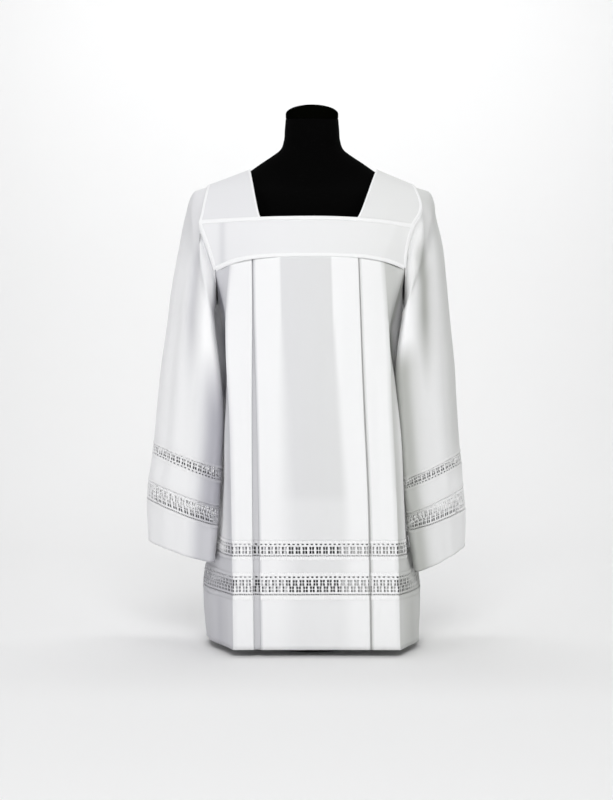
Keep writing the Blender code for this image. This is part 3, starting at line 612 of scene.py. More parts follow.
def sleeve(side, angle, along):
    """A sleeve's points: angle 0 is outermost and 90 is in front, in radians."""
    columns = SLEEVES[side]
    outer_x, outer_z, inner_x, inner_z, depth, turn = (
        smooth(columns, name, along) for name in SLEEVE_RINGS.split()[1:]
    )
    seen = angle + np.radians(turn)
    lateral = np.cos(seen)
    centre_x, centre_z = (outer_x + inner_x) / 2, (outer_z + inner_z) / 2
    x = centre_x + (outer_x - inner_x) / 2 * lateral
    z = centre_z + (outer_z - inner_z) / 2 * lateral
    beside = bell(np.arccos(lateral), *np.radians((SEAM_VALLEY_TURN, SEAM_VALLEY_WIDTH)))
    dip_reach, dip_depth = (
        np.where(np.sin(angle) > 0, *pair) for pair in (SEAM_VALLEY_REACH, SEAM_VALLEY_DEPTH)
    )
    dip = np.sin(math.pi * np.clip(along / dip_reach, 0, 1)) ** 2 * beside
    y = -depth * np.sin(angle) * (1 - dip_depth * dip)
    # The first rings follow the armhole's own edge, but rise to a full head over the shoulder.
    under, over = ARMHOLE_REACH
    near = 1 - ease(along / (under - (under - over) * np.clip(lateral, 0, 1)))
    seam_z = ARMHOLE_Z + ARMHOLE_HALF_HEIGHT * np.cos(angle)
    x = x + near * (side * armhole_x(side, seam_z) - x)
    x = x + SLEEVE_START * near
    reach = np.sqrt((x - centre_x) ** 2 + y**2 + (z - centre_z) ** 2)
    push = np.zeros_like(reach)
    for top, end, width, deep, deepest, run_out, left in SLEEVE_FOLDS:
        middle = np.radians(top + (end - top) * along / SLEEVE_END)
        away = (seen - middle + math.pi) % (2 * math.pi) - math.pi
        spent = (1 - left) * rising(along, deepest, run_out)
        fade = ease(along / deepest) * (1 - spent)
        push = push + deep * fade * bell(away, 0, np.radians(width))
    scale = 1 - push / reach
    x = centre_x + (x - centre_x) * scale
    z = centre_z + (z - centre_z) * scale
    return side * x, y * scale, z


# The form that wears the garment: its rings from below up.
FORM = table(
    "z width depth",
    (0.315, 0.146, 0.098),
    (0.322, 0.161, 0.111),
    (0.345, 0.170, 0.118),
    (0.400, 0.173, 0.120),
    (0.470, 0.168, 0.116),
    (0.600, 0.141, 0.100),
    (0.700, 0.148, 0.103),
    (0.800, 0.165, 0.106),
    (0.880, 0.177, 0.104),
    (0.930, 0.190, 0.095),
    (0.955, 0.195, 0.083),
    (0.975, 0.186, 0.066),
    (0.992, 0.1620, 0.0580),
    (1.009, 0.1345, 0.0550),
    (1.026, 0.1100, 0.0540),
    (1.041, 0.0870, 0.0530),
    (1.053, 0.0705, 0.0540),
    (1.075, 0.0607, 0.0575),
    (1.100, 0.0585, 0.0570),
    (1.123, 0.0565, 0.0565),
)
FORM_FOOT_Z = 0.315
NECK_START_Z, NECK_TOP_Z, NECK_TILT = 1.053, 1.123, 0.2
CAP_RADIUS, CAP_RIM, CAP_DOME, CAP_EDGE = 0.0565, 0.010, 0.021, 0.0020
CAP_BEND = 0.001  # from the top of its upright side to where its dome starts
POLE_RADIUS, BASE_RADIUS, BASE_THICKNESS, BASE_EDGE = 0.016, 0.104, 0.008, 0.0015
FORM_GAP = 0.0003  # between the cap, the form, its pole and the plate
FORM_CREASE_ANGLE = math.radians(50)


# The soft folds of the skirt that no pleat makes: where each lies across the front (x) and
# how far it drifts by the hem, its half width, how far it stands out, and its two ends.
SOFT_FOLDS = table(
    "x drift width height low high",
    (-0.150, 0.004, 0.010, -0.0012, 0.02, 0.70),
    (-0.087, -0.010, 0.016, 0.0012, 0.02, 0.62),
    (-0.052, 0.012, 0.012, -0.0010, 0.25, 0.80),
    (-0.020, -0.016, 0.022, 0.0016, 0.02, 0.55),
    (0.022, 0.020, 0.016, -0.0012, 0.02, 0.66),
    (0.060, 0.006, 0.012, 0.0010, 0.30, 0.81),
    (0.131, 0.010, 0.012, -0.0012, 0.02, 0.60),
)
SOFT_FOLD_TOP, SOFT_FOLD_DROP = 0.82, 0.81  # where they begin, and how far down they drift
SOFT_FOLD_FADE = 0.12  # below the top they deepen over this height
SOFT_FOLD_ENDS = (0.06, 0.12), (0.10, 0.2)  # how far past each end, and how softly, they fade
BACK_FOLD_SHARE = 0.9  # at the back the folds lie nearer to the middle
SKIRT_PLAN = 2.5  # how much wider than deep the skirt is taken to be, for its outward way


# The worn surfaces, in metres along the cut cloth: across and up it, and off it.


def soft_relief(x, y, z):
    """How far the soft folds move the skirt out here."""
    total = np.zeros_like(x)
    for i in range(len(SOFT_FOLDS["x"])):
        fold = {name: values[i] for name, values in SOFT_FOLDS.items()}
        middle = fold["x"] + fold["drift"] * (SOFT_FOLD_TOP - z) / SOFT_FOLD_DROP
        middle = np.where(y > 0, -middle * BACK_FOLD_SHARE, middle)
        (below, soft_below), (above, soft_above) = SOFT_FOLD_ENDS
        reach = rising(z, fold["low"] - below, soft_below)
        reach = reach * rising(z, fold["high"] + above, -soft_above)
        total = total + fold["height"] * reach * bell(x, middle, fold["width"])
    return total * rising(z, SOFT_FOLD_TOP, -SOFT_FOLD_FADE)


def skirt_surface(facing):
    """The skirt in front (1) or at the back (-1), by its flat width and its height."""

    def surface(across, z):
        x, y = skirt_plan(across, z)
        if facing < 0:
            x = x + back_fullness(x, y, z)
        relief = soft_relief(x, facing * y, z)
        heading = np.hypot(x / SKIRT_PLAN, y)
        x = x + relief * x / SKIRT_PLAN / heading
        y = y + relief * y / heading
        return x, facing * y, z

    return surface


def skirt_body_surface(facing):
    """The skirt above its upper lace; up runs from the lace (0) to the yoke's seam (1)."""

    def surface(across, up):
        x, y = skirt_plan(across, np.full_like(across, SIDES[-1]["z"][-1]))
        low = UPPER_LACE_Z[1] - MARGIN_LAP
        return skirt_surface(facing)(across, low + (skirt_top_z(x, y) - low) * up)

    return surface


def sleeve_surface(side):
    return lambda round_it, along: sleeve(side, round_it / SLEEVE_ROUND * 2 * math.pi, along)


def band_surface(facing):
    def surface(across, up):
        x, y, z = band(across, up)
        return x, facing * y, z

    return surface


def off_surface(surface, facing, flat):
    """Flat points (across, up, off) on their worn surface; facing says which way is out."""
    across, up, off = flat.T
    nudge = 0.0002  # half the step over which the surface's slope is taken
    here, left, right, below, above = (
        np.stack(surface(across + a, up + b), axis=1)
        for a, b in ((0, 0), (-nudge, 0), (nudge, 0), (0, -nudge), (0, nudge))
    )
    outward = np.cross(right - left, above - below)
    outward /= np.linalg.norm(outward, axis=1)[:, None] + 1e-12
    return here + facing * off[:, None] * outward


# Cutting the cloth flat and putting it on.

WELD = 2e-5  # a tube's two edges are this near to each other


def cut_flat(places, levels, off=0.0):
    """A flat piece of cloth with a column and a row of points at each of these."""
    cloth = bmesh.new()
    columns, rows = len(places) - 1, len(levels) - 1
    bmesh.ops.create_grid(cloth, x_segments=columns, y_segments=rows, size=0.5)
    for vert in cloth.verts:
        vert.co.x = places[round((vert.co.x + 0.5) * columns)]
        vert.co.y = levels[round((vert.co.y + 0.5) * rows)]
        vert.co.z = off
    return cloth


def add_object(name, data):
    made = bpy.data.objects.new(name, data)
    bpy.context.scene.collection.objects.link(made)
    return made


def put_on(name, cloth, surface, facing, cut=(1, 1), tone=None, tube=False):
    """Makes a flat piece an object on its worn surface, with its cut as its UV map."""
    mesh = bpy.data.meshes.new(name)
    if facing < 0:
        bmesh.ops.reverse_faces(cloth, faces=cloth.faces)
    cloth.to_mesh(mesh)
    cloth.free()
    flat = np.empty(len(mesh.vertices) * 3)
    mesh.vertices.foreach_get("co", flat)
    flat = flat.reshape(-1, 3)
    corners = np.empty(len(mesh.loops), int)
    mesh.loops.foreach_get("vertex_index", corners)
    layer = mesh.uv_layers.new(name="cut")
    layer.uv.foreach_set("vector", (flat[corners, :2] * cut).ravel())
    worn = off_surface(surface, facing, flat)
    mesh.vertices.foreach_set("co", worn.ravel())
    # The tone attribute carries the piece's painted light and shade, which its material multiplies
    # into the white.
    shade = mesh.attributes.new("tone", "FLOAT", "POINT")
    values = np.ones(len(worn)) if tone is None else tone(flat, worn)
    shade.data.foreach_set("value", values)
    if tube:
        sewn = bmesh.new()
        sewn.from_mesh(mesh)
        bmesh.ops.remove_doubles(sewn, verts=sewn.verts, dist=WELD)
        sewn.to_mesh(mesh)
        sewn.free()
    mesh.shade_smooth()
    mesh.set_sharp_from_angle(angle=CREASE_ANGLE)
    return add_object(name, mesh)


def hand_in(piece, skin, nodes=()):
    """Gives a piece its material, or its outer and inner ones, and its place in the model."""
    for face in skin if isinstance(skin, tuple) else (skin,):
        piece.data.materials.append(face)
    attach(piece, "root")
    if nodes:
        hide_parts(*nodes)


def make_cloth(name, node, flat, surface, facing, cloth, tone, cut=(1, 1), tube=False):
    """A piece of cloth with its wall, in place of this node."""
    piece = put_on(name, flat, surface, facing, cut, tone, tube)
    wall = piece.modifiers.new("wall", "SOLIDIFY")
    wall.thickness = CLOTH
    wall.offset = 0
    # The wall's inner faces take the second material, the cloth darkened as painted shade.
    wall.material_offset = 1
    hand_in(piece, cloth, [node])
    return piece


# How the light passing through one, two or three layers of the cloth is painted into its tone.


def layer_tone(x, z):
    """Painted show-through: paler where a pleat's hidden layers back the front, greyer over the
    black form.
    """
    tripled = np.zeros_like(x)
    for side in (-1, 1):
        low, high = hidden_fold_x(side, -1, z), hidden_fold_x(side, 1, z)
        soft = [LAYER_EDGE_WIDTH, LAYER_EDGE_WIDTH]
        soft[int(side < 0)] = np.interp(z, LAYER_EDGE_Z, LAYER_EDGE_WIDTHS[side])
        if side > 0:
            low = low + np.interp(z, LAYER_EDGE_Z, LAYER_EDGE_SHIFT)
        tripled = tripled + ease((x - low) / soft[0] + 0.5) * ease((high - x) / soft[1] + 0.5)
    single = BELOW_FORM_TONE + (OVER_FORM_TONE - BELOW_FORM_TONE) * rising(z, *FORM_SHOWS)
    single = single + BORDER_LIFT * rising(z, *BORDER_LIFT_START)
    return single + (PLEAT_TONE - single) * tripled


def side_tone(x, y, z):
    """The skirt's side behind a crease, in painted light and shade: lit near the crease, dark
    further round under the arm.
    """
    edges = [np.interp(z, LIT_EDGE_Z[side], LIT_EDGE_X[side]) for side in (-1, 1)]
    past = np.abs(x) - np.where(x < 0, *edges)
    away = np.abs(x) - np.where(x < 0, -crease_x(-1, z), crease_x(1, z))
    beside_sleeve = rising(z, *SIDE_PAINTED_LIGHT_FOOT) * rising(z, *SIDE_PAINTED_LIGHT_TOP)
    lit = SIDE_TONE + SIDE_PAINTED_LIGHT * beside_sleeve * rising(away, *SIDE_PAINTED_LIGHT_START)
    # The border's soft folds at the sides are painted light and shade only, not shape.
    folds = sum(lift * bell(away, place, width) for place, width, lift in BORDER_FOLD_SHADES)
    lit = lit + (1 - beside_sleeve) * rising(z, *BORDER_FOLD_SHADE_TOP) * folds
    # The back has no painted dark gap beside the sleeve, only a slow painted change from grey to
    # pale.
    deep = np.where(x < 0, *(np.interp(z, *DEEP_TONES[side]) for side in (-1, 1)))
    behind = rising(y, *BACK_START)
    deep = deep + (lit - deep) * behind
    reach = np.where(x < 0, *DEEP_REACHES)
    reach = reach + (BACK_REACH - reach) * behind
    dark = deep + (DEEP_END_TONE - deep) * ease(past / reach)
    return lit + (dark - lit) * ease(past / LIT_EDGE_WIDTH + 0.5)


def inside_stretches(across):
    """Each stretch's number, whether it shows, and which of these places lie inside it."""
    for i, (_, shows) in enumerate(STRETCHES):
        yield i, shows, (across > FLAT_ENDS[i]) & (across < FLAT_ENDS[i + 1])


# The skirt's painted light and shade: show-through in front, painted shade in the hidden layers and
# at the sides.
def skirt_tone(flat, worn):
    across = flat[:, 0]
    x, y, z = worn.T
    tone = layer_tone(x, z)
    beside = (across < FLAT_ENDS[1]) | (across > FLAT_ENDS[-2])
    tone[beside] = side_tone(x[beside], y[beside], z[beside])
    for _, shows, inside in inside_stretches(across):
        if not shows:
            tone[inside] = HIDDEN_TONE
    return tone


def lace_tone(flat, worn):
    """The hem's lace, in painted shade: as grey as its cloth at the sides and in the pleats, paler
    in front.
    """
    tone = skirt_tone(flat, worn)
    for i, shows, inside in inside_stretches(flat[:, 0]):
        if not shows:
            tone[inside] = HIDDEN_LACE_TONE
        elif 0 < i < len(STRETCHES) - 1:
            tone[inside] = 1 - FRONT_LACE_SHADE * (1 - tone[inside])
    return tone


def yoke_tone(flat, worn):
    """The yoke, a little greyer in soft upright painted shades near the band's ends."""
    x, _, z = worn.T
    place, width, depth = YOKE_LEFT_SHADE
    slant, level = YOKE_RIGHT_SLANT
    left = depth * bell(x, place, width)
    right = rising(x - slant * (z - level), *YOKE_RIGHT_START) * rising(x, *YOKE_RIGHT_END)
    band_tone = YOKE_TONE - left - YOKE_RIGHT_DEPTH * right
    return STRAP_TONE + (band_tone - STRAP_TONE) * rising(z, *YOKE_BAND_START)


def seam_tone(flat, worn):
    return np.full(len(worn), SEAM_TONE)


def sleeve_tone(side):
    """A sleeve's cloth in painted shade: greyer in its long trough and where it turns in towards
    the skirt.
    """
    trough_shade, inner_shade, outer_shade, inner_start, inner_run = SLEEVE_SHADES[side]

    def tone(flat, worn):
        angle = flat[:, 0] / SLEEVE_ROUND * 2 * math.pi
        along = flat[:, 1]
        seen = np.degrees(angle) + smooth(SLEEVES[side], "turn", along)
        seen = 180 - np.abs(seen % 360 - 180)

        def turns(name):
            return rising(seen, *SHADE_TURNS[name])

        def runs(name):
            return rising(along, *SHADE_LENGTHS[name])

        trough = bell(seen, TROUGH_TURN, TROUGH_WIDTH) * runs("trough") * runs("trough_end")
        inner = turns("inner") * rising(along, inner_start, inner_run)
        if side < 0:
            inner = inner * (1 - CUFF_PAINTED_LIGHT * turns("cuff") * runs("cuff"))
        valley = np.sin(math.pi * np.clip(along / SEAM_VALLEY_REACH[0], 0, 1)) * turns("valley")
        behind = np.sin(angle) <= 0
        shades = (
            trough_shade * trough,
            inner_shade * inner,
            outer_shade * turns("outer") * runs("outer"),
            HEAD_SHADE * runs("head"),
            VALLEY_SHADE * valley,
            SEAM_SIDE_SHADE * turns("seam") * runs("seam"),
            UNDER_ARM_SHADE * turns("under") * runs("under") * behind,
        )
        return 1 - np.max(shades, axis=0)

    return tone


def sleeve_lace_tone(side):
    """A sleeve's lace, in nearly as much painted shade as its cloth."""
    cloth_tone = sleeve_tone(side)
    return lambda flat, worn: 1 - SLEEVE_LACE_SHADE * (1 - cloth_tone(flat, worn))


# The cloth's pieces.

SKIRT_STEP, HIDDEN_STEP = 0.0045, 0.012  # from column to column
TURN_LENGTH, TURN_COLUMNS = 0.006, 4  # a shorter stretch is a folded edge
SLEEVE_COLUMNS, BAND_COLUMNS, STRAP_COLUMNS = 145, 97, 81
BAND_END_COLUMNS, SEAM_ROWS = 25, 9  # of points along and across the seams' strips
PANEL_ROW = 0.017  # height of the skirt panel's rows, as a share of it


def skirt_places():
    """Columns for the skirt: closer in a pleat's folded edges, wider in its hidden layers."""
    places = [FLAT_ENDS[:1]]
    for start, end, (_, shows) in zip(FLAT_ENDS[:-1], FLAT_ENDS[1:], STRETCHES):
        if end - start < TURN_LENGTH:
            parts = TURN_COLUMNS
        else:
            parts = max(1, round((end - start) / (SKIRT_STEP if shows else HIDDEN_STEP)))
        places.append(np.linspace(start, end, parts + 1)[1:])
    return np.concatenate(places)


def steps(low, high, size):
    return np.linspace(low, high, max(2, round((high - low) / size)) + 1)


def make_skirt(cloth):
    """The skirt's cloth, in front and at the back, with its plain strips."""
    places = skirt_places()
    cut = (1, BAND_BOTTOM_Z - UPPER_LACE_Z[1])
    strips = (
        ("hem_strip", LOWER_LACE_Z[1] - MARGIN_LAP, UPPER_LACE_Z[0] + MARGIN_LAP, 0.008),
        ("hem_border", HEM_Z, LOWER_LACE_Z[0] + MARGIN_LAP, 0.010),
    )
    for facing, where in FACINGS:
        name, node = f"skirt_panel_{where}", f"skirt_{where}"
        flat = cut_flat(places, steps(0, 1, PANEL_ROW))
        surface = skirt_body_surface(facing)
        skirt = make_cloth(name, node, flat, surface, facing, cloth, skirt_tone, cut)
        surface = skirt_surface(facing)
        for name, low, high, row in strips:
            flat = cut_flat(places, steps(low, high, row))
            name, node = f"{name}_cloth_{where}", f"{name}_{where}"
            strip = make_cloth(name, node, flat, surface, facing, cloth, skirt_tone)


def make_sleeves(cloth):
    upper, lower = SLEEVE_LACE_UPPER, SLEEVE_LACE_LOWER
    lengths = (
        ("sleeve", 0.0, upper[0] + MARGIN_LAP, 0.006),
        ("sleeve_strip", upper[1] - MARGIN_LAP, lower[0] + MARGIN_LAP, 0.007),
        ("sleeve_border", lower[1] - MARGIN_LAP, SLEEVE_END, 0.006),
    )
    places = np.linspace(0, SLEEVE_ROUND, SLEEVE_COLUMNS)
    for side, where in BOTH_SIDES:
        surface, tone = sleeve_surface(side), sleeve_tone(side)
        for name, start, end, row in lengths:
            flat = cut_flat(places, steps(start, end, row))
            name, node = f"{name}_cloth_{where}", f"{name}_{where}"
            piece = make_cloth(name, node, flat, surface, side, cloth, tone, tube=True)


def make_yoke(cloth):
    for facing, where in FACINGS:
        flat = cut_flat(np.linspace(0, 1, BAND_COLUMNS), np.linspace(-0.01, 1.0, 13))
        name, node = f"yoke_band_cloth_{where}", f"yoke_band_{where}"
        surface, cut = band_surface(facing), (0.50, 0.085)
        piece = make_cloth(name, node, flat, surface, facing, cloth, yoke_tone, cut)
    for side, where in BOTH_SIDES:
        flat = cut_flat(np.linspace(-1, 1, STRAP_COLUMNS), np.linspace(0, 1, 19))
        name, node = f"yoke_strap_cloth_{where}", f"yoke_strap_{where}"
        surface, cut = partial(strap, side), (0.19, 0.12)
        piece = make_cloth(name, node, flat, surface, -side, cloth, yoke_tone, cut)


# The lace: strips of crochet worked flat, then put on with the cloth.

# The main row's columns, as shares of a cell, its rows, as shares of its height, and how far
# its threads pull along the band at each share of a cell.
CROSS_COLUMNS = (0, 0.14, 0.28, 0.31, 0.60, 0.68, 0.97)
CROSS_ROWS = (0, 0.04, 0.46, 0.54, 0.96, 1)
CROSS_PULL = ((0, 0.14, 0.28, 0.31, 0.46, 0.82, 0.97, 1), (1, 0, -1, -1, 0, 0, 1, 1))
PULL_LENGTH = 0.06  # of a cell
OVAL_HALF = 0.14  # of a cell, which is also where its middle lies
SMALL_HOLES = 1.5  # dots or slits to a cell
SCALLOPS = 3  # to a cell
SCALLOP_NOTCH = 0.32  # how far the gaps between scallops cut in, as a share of their height
SCALLOP_DOME, SCALLOP_DOME_START = 0.85, 0.1  # how much of a half wave its section follows


def strip_places(count, shares, step=1):
    """Columns at these shares of each step along a strip, and at its end."""
    places = (np.arange(count)[:, None] + np.asarray(shares)[None, :]).ravel()
    return np.append(places, count) * step


def bend(cloth, rule):
    """Moves a flat piece's points by a rule on their places."""
    flat = np.array([vert.co for vert in cloth.verts])
    for vert, place in zip(cloth.verts, np.stack(rule(*flat.T), axis=1)):
        vert.co = place


def open_holes(strip, holes):
    """Cuts a hole with its corners rounded in each of these faces."""
    bmesh.ops.inset_individual(strip, faces=holes, thickness=HOLE_RIM)
    corners = list({vert for face in holes for vert in face.verts})
    bmesh.ops.bevel(
        strip,
        geom=corners,
        offset=HOLE_CORNER,
        offset_type="OFFSET",
        segments=1,
        profile=0.5,
        affect="VERTICES",
        material=-1,
        clamp_overlap=True,
    )
    cut = [face for face in strip.faces if len(face.verts) == HOLE_SIDES]
    bmesh.ops.delete(strip, geom=cut, context="FACES")


def openwork(places, levels, hole_columns, hole_rows):
    """A strip of lace with holes where these columns and rows cross, repeated along it."""
    strip = cut_flat(places, levels)
    holes = []
    for face in strip.faces:
        centre = face.calc_center_median()
        column = int(np.searchsorted(places, centre.x)) - 1
        row = int(np.searchsorted(levels, centre.y)) - 1
        if row in hole_rows and column % hole_columns[0] in hole_columns[1]:
            holes.append(face)
    open_holes(strip, holes)
    return strip


def crosses_and_ovals(cells, pitch, low, height, shift):
    """The lace's main row: an oval, then a cross between four holes, over and over."""
    places = strip_places(cells + 1, CROSS_COLUMNS) - 1 + shift
    levels = low + height * np.array(CROSS_ROWS)
    strip = openwork(places * pitch, levels, (len(CROSS_COLUMNS), (3, 5)), (1, 3))

    def rule(x, y, z):
        share = (x / pitch - shift) % 1
        end = np.clip(2 * (y - low) / height - 1, -1, 1)
        pull = np.interp(share, *CROSS_PULL)
        oval = np.clip(1 - ((share - OVAL_HALF) / OVAL_HALF) ** 2, 0, 1)
        lift = OVAL_RISE * oval * np.sqrt(np.clip(1 - end**4, 0, 1))
        return x + PULL_LENGTH * pitch * pull * end**2, y, z + lift

    bend(strip, rule)
    width = cells * pitch
    for edge, out in ((0, -1), (width, 1)):
        bmesh.ops.bisect_plane(
            strip,
            geom=[*strip.verts, *strip.edges, *strip.faces],
            dist=1e-6,
            plane_co=(edge, 0, 0),
            plane_no=(out, 0, 0),
            clear_outer=True,
        )
    return strip


def dots(cells, pitch, low, height):
    """A row of small round holes, three to every two cells."""
    count = round(cells * SMALL_HOLES)
    places = strip_places(count, (0, 0.24, 0.76), cells * pitch / count)
    levels = low + height * np.array((0, 0.10, 0.90, 1))
    return openwork(places, levels, (3, (1,)), (1,))


def zigzag(cells, pitch, low, height):
    """A thin line of slits that step up and down."""
    count = round(cells * SMALL_HOLES)
    step = cells * pitch / count
    places = strip_places(count, (0, 0.05, 0.475, 0.525, 0.95), step)
    levels = low + height * np.array((0, 0.14, 0.90, 1))
    strip = openwork(places, levels, (5, (1, 3)), (1,))
    bend(strip, lambda x, y, z: (x, y + ZIGZAG_STEP * np.sin(2 * math.pi * x / step), z))
    return strip


def rail(cells, pitch, low, height):
    """A corded rib."""
    places = np.linspace(0, cells, cells * 3 + 1) * pitch
    strip = cut_flat(places, (low, low + height / 2, low + height))

    def rule(x, y, z):
        return x, y, z + RAIL_RISE * np.clip(1 - (2 * (y - low) / height - 1) ** 2, 0, 1)

    bend(strip, rule)
    return strip


def scallops(cells, pitch, low, height, outward):
    """The sewn edge: small domed scallops over the cloth, rounded on their outer side."""
    count = cells * SCALLOPS
    step = cells * pitch / count
    places = strip_places(count, (0, 0.25, 0.5, 0.75), step)
    edge = cut_flat(places, low + height * np.array((0, 0.35, 0.7, 1)))

    def rule(x, y, z):
        share = (y - low) / height
        share = share if outward > 0 else 1 - share
        arch = np.sqrt(np.abs(np.sin(math.pi * x / step)))
        reach = share * (1 - SCALLOP_NOTCH * (1 - arch))
        level = reach if outward > 0 else 1 - reach
        dome = np.sin(math.pi * np.clip(share * SCALLOP_DOME + SCALLOP_DOME_START, 0, 1))
        return x, low + height * level, SCALLOP_LIFT + SCALLOP_RISE * arch * dome

    bend(edge, rule)
    return edge


def work_lace(name, cells, pitch, low, high, upside_down=False):
    """A whole band of lace, flat: its strips from the zigzag's side up."""
    rows, low_margin, slits, cord, motif, spots, high_margin = LACE_STRIPS[name]
    strips = (
        (partial(scallops, outward=-1), low_margin, False),
        (zigzag, slits, True),
        (rail, cord, True),
        *((partial(crosses_and_ovals, shift=0.5 * row), motif, True) for row in range(rows)),
        (rail, cord, True),
        (dots, spots, True),
        (partial(scallops, outward=1), high_margin, False),
    )
    scale = (high - low) / sum(strip_height for _, strip_height, _ in strips)
    band_of_lace = bmesh.new()
    level = low
    sewn = bpy.data.meshes.new("sewn")
    for make, strip_height, thick in strips:
        strip = make(cells, pitch, level, strip_height * scale)
        if thick:
            bmesh.ops.solidify(strip, geom=strip.faces[:], thickness=LACE_THREAD)
        strip.to_mesh(sewn)
        band_of_lace.from_mesh(sewn)
        strip.free()
        level += strip_height * scale
    bpy.data.meshes.remove(sewn)
    if upside_down:
        bend(band_of_lace, lambda x, y, z: (x, low + high - y, z))
        bmesh.ops.reverse_faces(band_of_lace, faces=band_of_lace.faces)
    return band_of_lace


def make_lace(lace):
    width = FLAT_ENDS[-1]
    cells = round(width / LACE_PITCH)
    for facing, where in FACINGS:
        surface = skirt_surface(facing)
        for name, heights in (("hem_lace_upper", UPPER_LACE_Z), ("hem_lace_lower", LOWER_LACE_Z)):
            flat = work_lace(name, cells, width / cells, *heights)
            piece = put_on(f"{name}_crochet_{where}", flat, surface, facing, tone=lace_tone)
            hand_in(piece, lace, [f"{name}_{where}"])
    for side, where in BOTH_SIDES:
        surface, tone = sleeve_surface(side), sleeve_lace_tone(side)
        for name, lengths, flipped in (
            ("sleeve_lace_upper", SLEEVE_LACE_UPPER, False),
            ("sleeve_lace_lower", SLEEVE_LACE_LOWER, True),
        ):
            flat = work_lace(name, SLEEVE_CELLS, LACE_PITCH, *lengths, flipped)
            piece = put_on(f"{name}_crochet_{where}", flat, surface, side, tone=tone, tube=True)
            hand_in(piece, lace, [f"{name}_{where}_front", f"{name}_{where}_back"])


# Seams, folded edges and stitches.


def stitch_row(stitches, surface, facing, place, side, off):
    """A row of stitches along one line of a strip, this far off the cloth."""

    def worn(share, off):
        across, up = place(share, np.full_like(share, side))
        flat = np.stack([across, up, np.full_like(share, off)], axis=1)
        return off_surface(surface, facing, flat)

    share = np.linspace(0, 1, STITCH_SAMPLES)
    line = worn(share, off)
    run = np.concatenate([[0], np.cumsum(np.linalg.norm(np.diff(line, axis=0), axis=1))])
    middles = (np.arange(int(run[-1] / STITCH_PITCH)) + 0.5) * STITCH_PITCH
    ends = [
        np.stack([np.interp(middles + shift, run, line[:, axis]) for axis in range(3)], axis=1)
        for shift in (-STITCH_LENGTH / 2, STITCH_LENGTH / 2)
    ]
    at = np.interp(middles, run, share)
    for start, end, outward in zip(*ends, worn(at, 0.001) - worn(at, 0)):
        along = Vector(end - start)
        out = Vector(outward).normalized()
        beside = out.cross(along).normalized() * STITCH_WIDTH
        place_it = Matrix.Identity(4)
        place_it.col[0] = (*along, 0)
        place_it.col[1] = (*beside, 0)
        place_it.col[2] = (*(out * STITCH_WIDTH * STITCH_FLATNESS), 0)
        place_it.col[3] = (*((start + end) / 2), 1)
        bmesh.ops.create_cube(stitches, size=1, matrix=place_it)


def make_seams(cloth, thread):
    stitches = bmesh.new()

    def sew(name, surface, facing, place, count, rise=EDGE_RISE, rows=(0.8,), tube=False):
        """A felled seam or a folded edge: a strip raised off the cloth along a line on it,
        with rows of stitches at these shares of its half width."""
        flat = cut_flat(np.linspace(0, 1, count), np.linspace(-1, 1, SEAM_ROWS))

        def rule(share, side, off):
            across, up = place(share, side)
            return across, up, rise * np.clip(1 - side**4, 0, 1) ** 0.5 + off

        bend(flat, rule)
        hand_in(put_on(name, flat, surface, facing, tone=seam_tone, tube=tube), cloth)
        for side in rows:
            off = SEAM_STITCH_OFF if len(rows) > 1 else EDGE_STITCH_OFF
            stitch_row(stitches, surface, facing, place, side, off)

    def band_top(share, side):
        return share, TOP_SEAM[0] + TOP_SEAM[1] * side

    def band_bottom(share, side):
        return BOTTOM_SEAM_INSET + (1 - 2 * BOTTOM_SEAM_INSET) * share, BOTTOM_SEAM * side

    def band_end(end, share, across):
        inset = (EDGE_FOLD[0] + EDGE_FOLD[1] * across) / BAND_LENGTH
        return (inset if end == 0 else 1 - inset), share

    def neck(side, share, across):
        along = 2 * share - 1
        return along, (NECK_FOLD[0] + NECK_FOLD[1] * across) / strap_width(side, along)

    def strap_edge(side, share, across):
        along = 2 * share - 1
        return along, 1 - (EDGE_FOLD[0] + EDGE_FOLD[1] * across) / strap_width(side, along)

    def armhole(share, along):
        return share * SLEEVE_ROUND, ARMHOLE_SEAM[0] + ARMHOLE_SEAM[1] * along

    for facing, where in FACINGS:
        band_place = band_surface(facing)
        for name, place, rise in (
            ("yoke_top_seam", band_top, TOP_SEAM_RISE),
            ("yoke_bottom_seam", band_bottom, BOTTOM_SEAM_RISE),
        ):
            sew(f"{name}_{where}", band_place, facing, place, BAND_COLUMNS, rise, (-0.8, 0.8))
        for end, (_, end_name) in enumerate(BOTH_SIDES):
            name = f"armhole_edge_{end_name}_{where}"
            sew(name, band_place, facing, partial(band_end, end), BAND_END_COLUMNS)
    for side, where in BOTH_SIDES:
        strap_place, sleeve_place = partial(strap, side), sleeve_surface(side)
        fold, edge = partial(neck, side), partial(strap_edge, side)
        sew(f"neckline_fold_{where}", strap_place, -side, fold, STRAP_COLUMNS, rows=(0.75,))
        sew(f"armhole_edge_{where}", strap_place, -side, edge, STRAP_COLUMNS)
        sew(f"armhole_seam_{where}", sleeve_place, side, armhole, SLEEVE_COLUMNS, tube=True)
    mesh = bpy.data.meshes.new("stitches")
    stitches.to_mesh(mesh)
    stitches.free()
    hand_in(add_object("stitches", mesh), thread)


def strap_width(side, along):
    ends = [np.stack(strap(side, along, np.full_like(along, at)), axis=1) for at in (0, 1)]
    return np.linalg.norm(ends[1] - ends[0], axis=1)


# The form and its stand.


def turned(name, surface, levels, skin, node, columns=96):
    """A closed body turned round the form's axis."""
    flat = cut_flat(np.linspace(0, 1, columns + 1), levels)
    body = put_on(name, flat, surface, 1, tube=True)
    closed = bmesh.new()
    closed.from_mesh(body.data)
    bmesh.ops.holes_fill(closed, edges=closed.edges, sides=0)
    bmesh.ops.recalc_face_normals(closed, faces=closed.faces)
    closed.to_mesh(body.data)
    closed.free()
    body.data.shade_smooth()
    body.data.set_sharp_from_angle(angle=FORM_CREASE_ANGLE)
    hand_in(body, skin, [node])


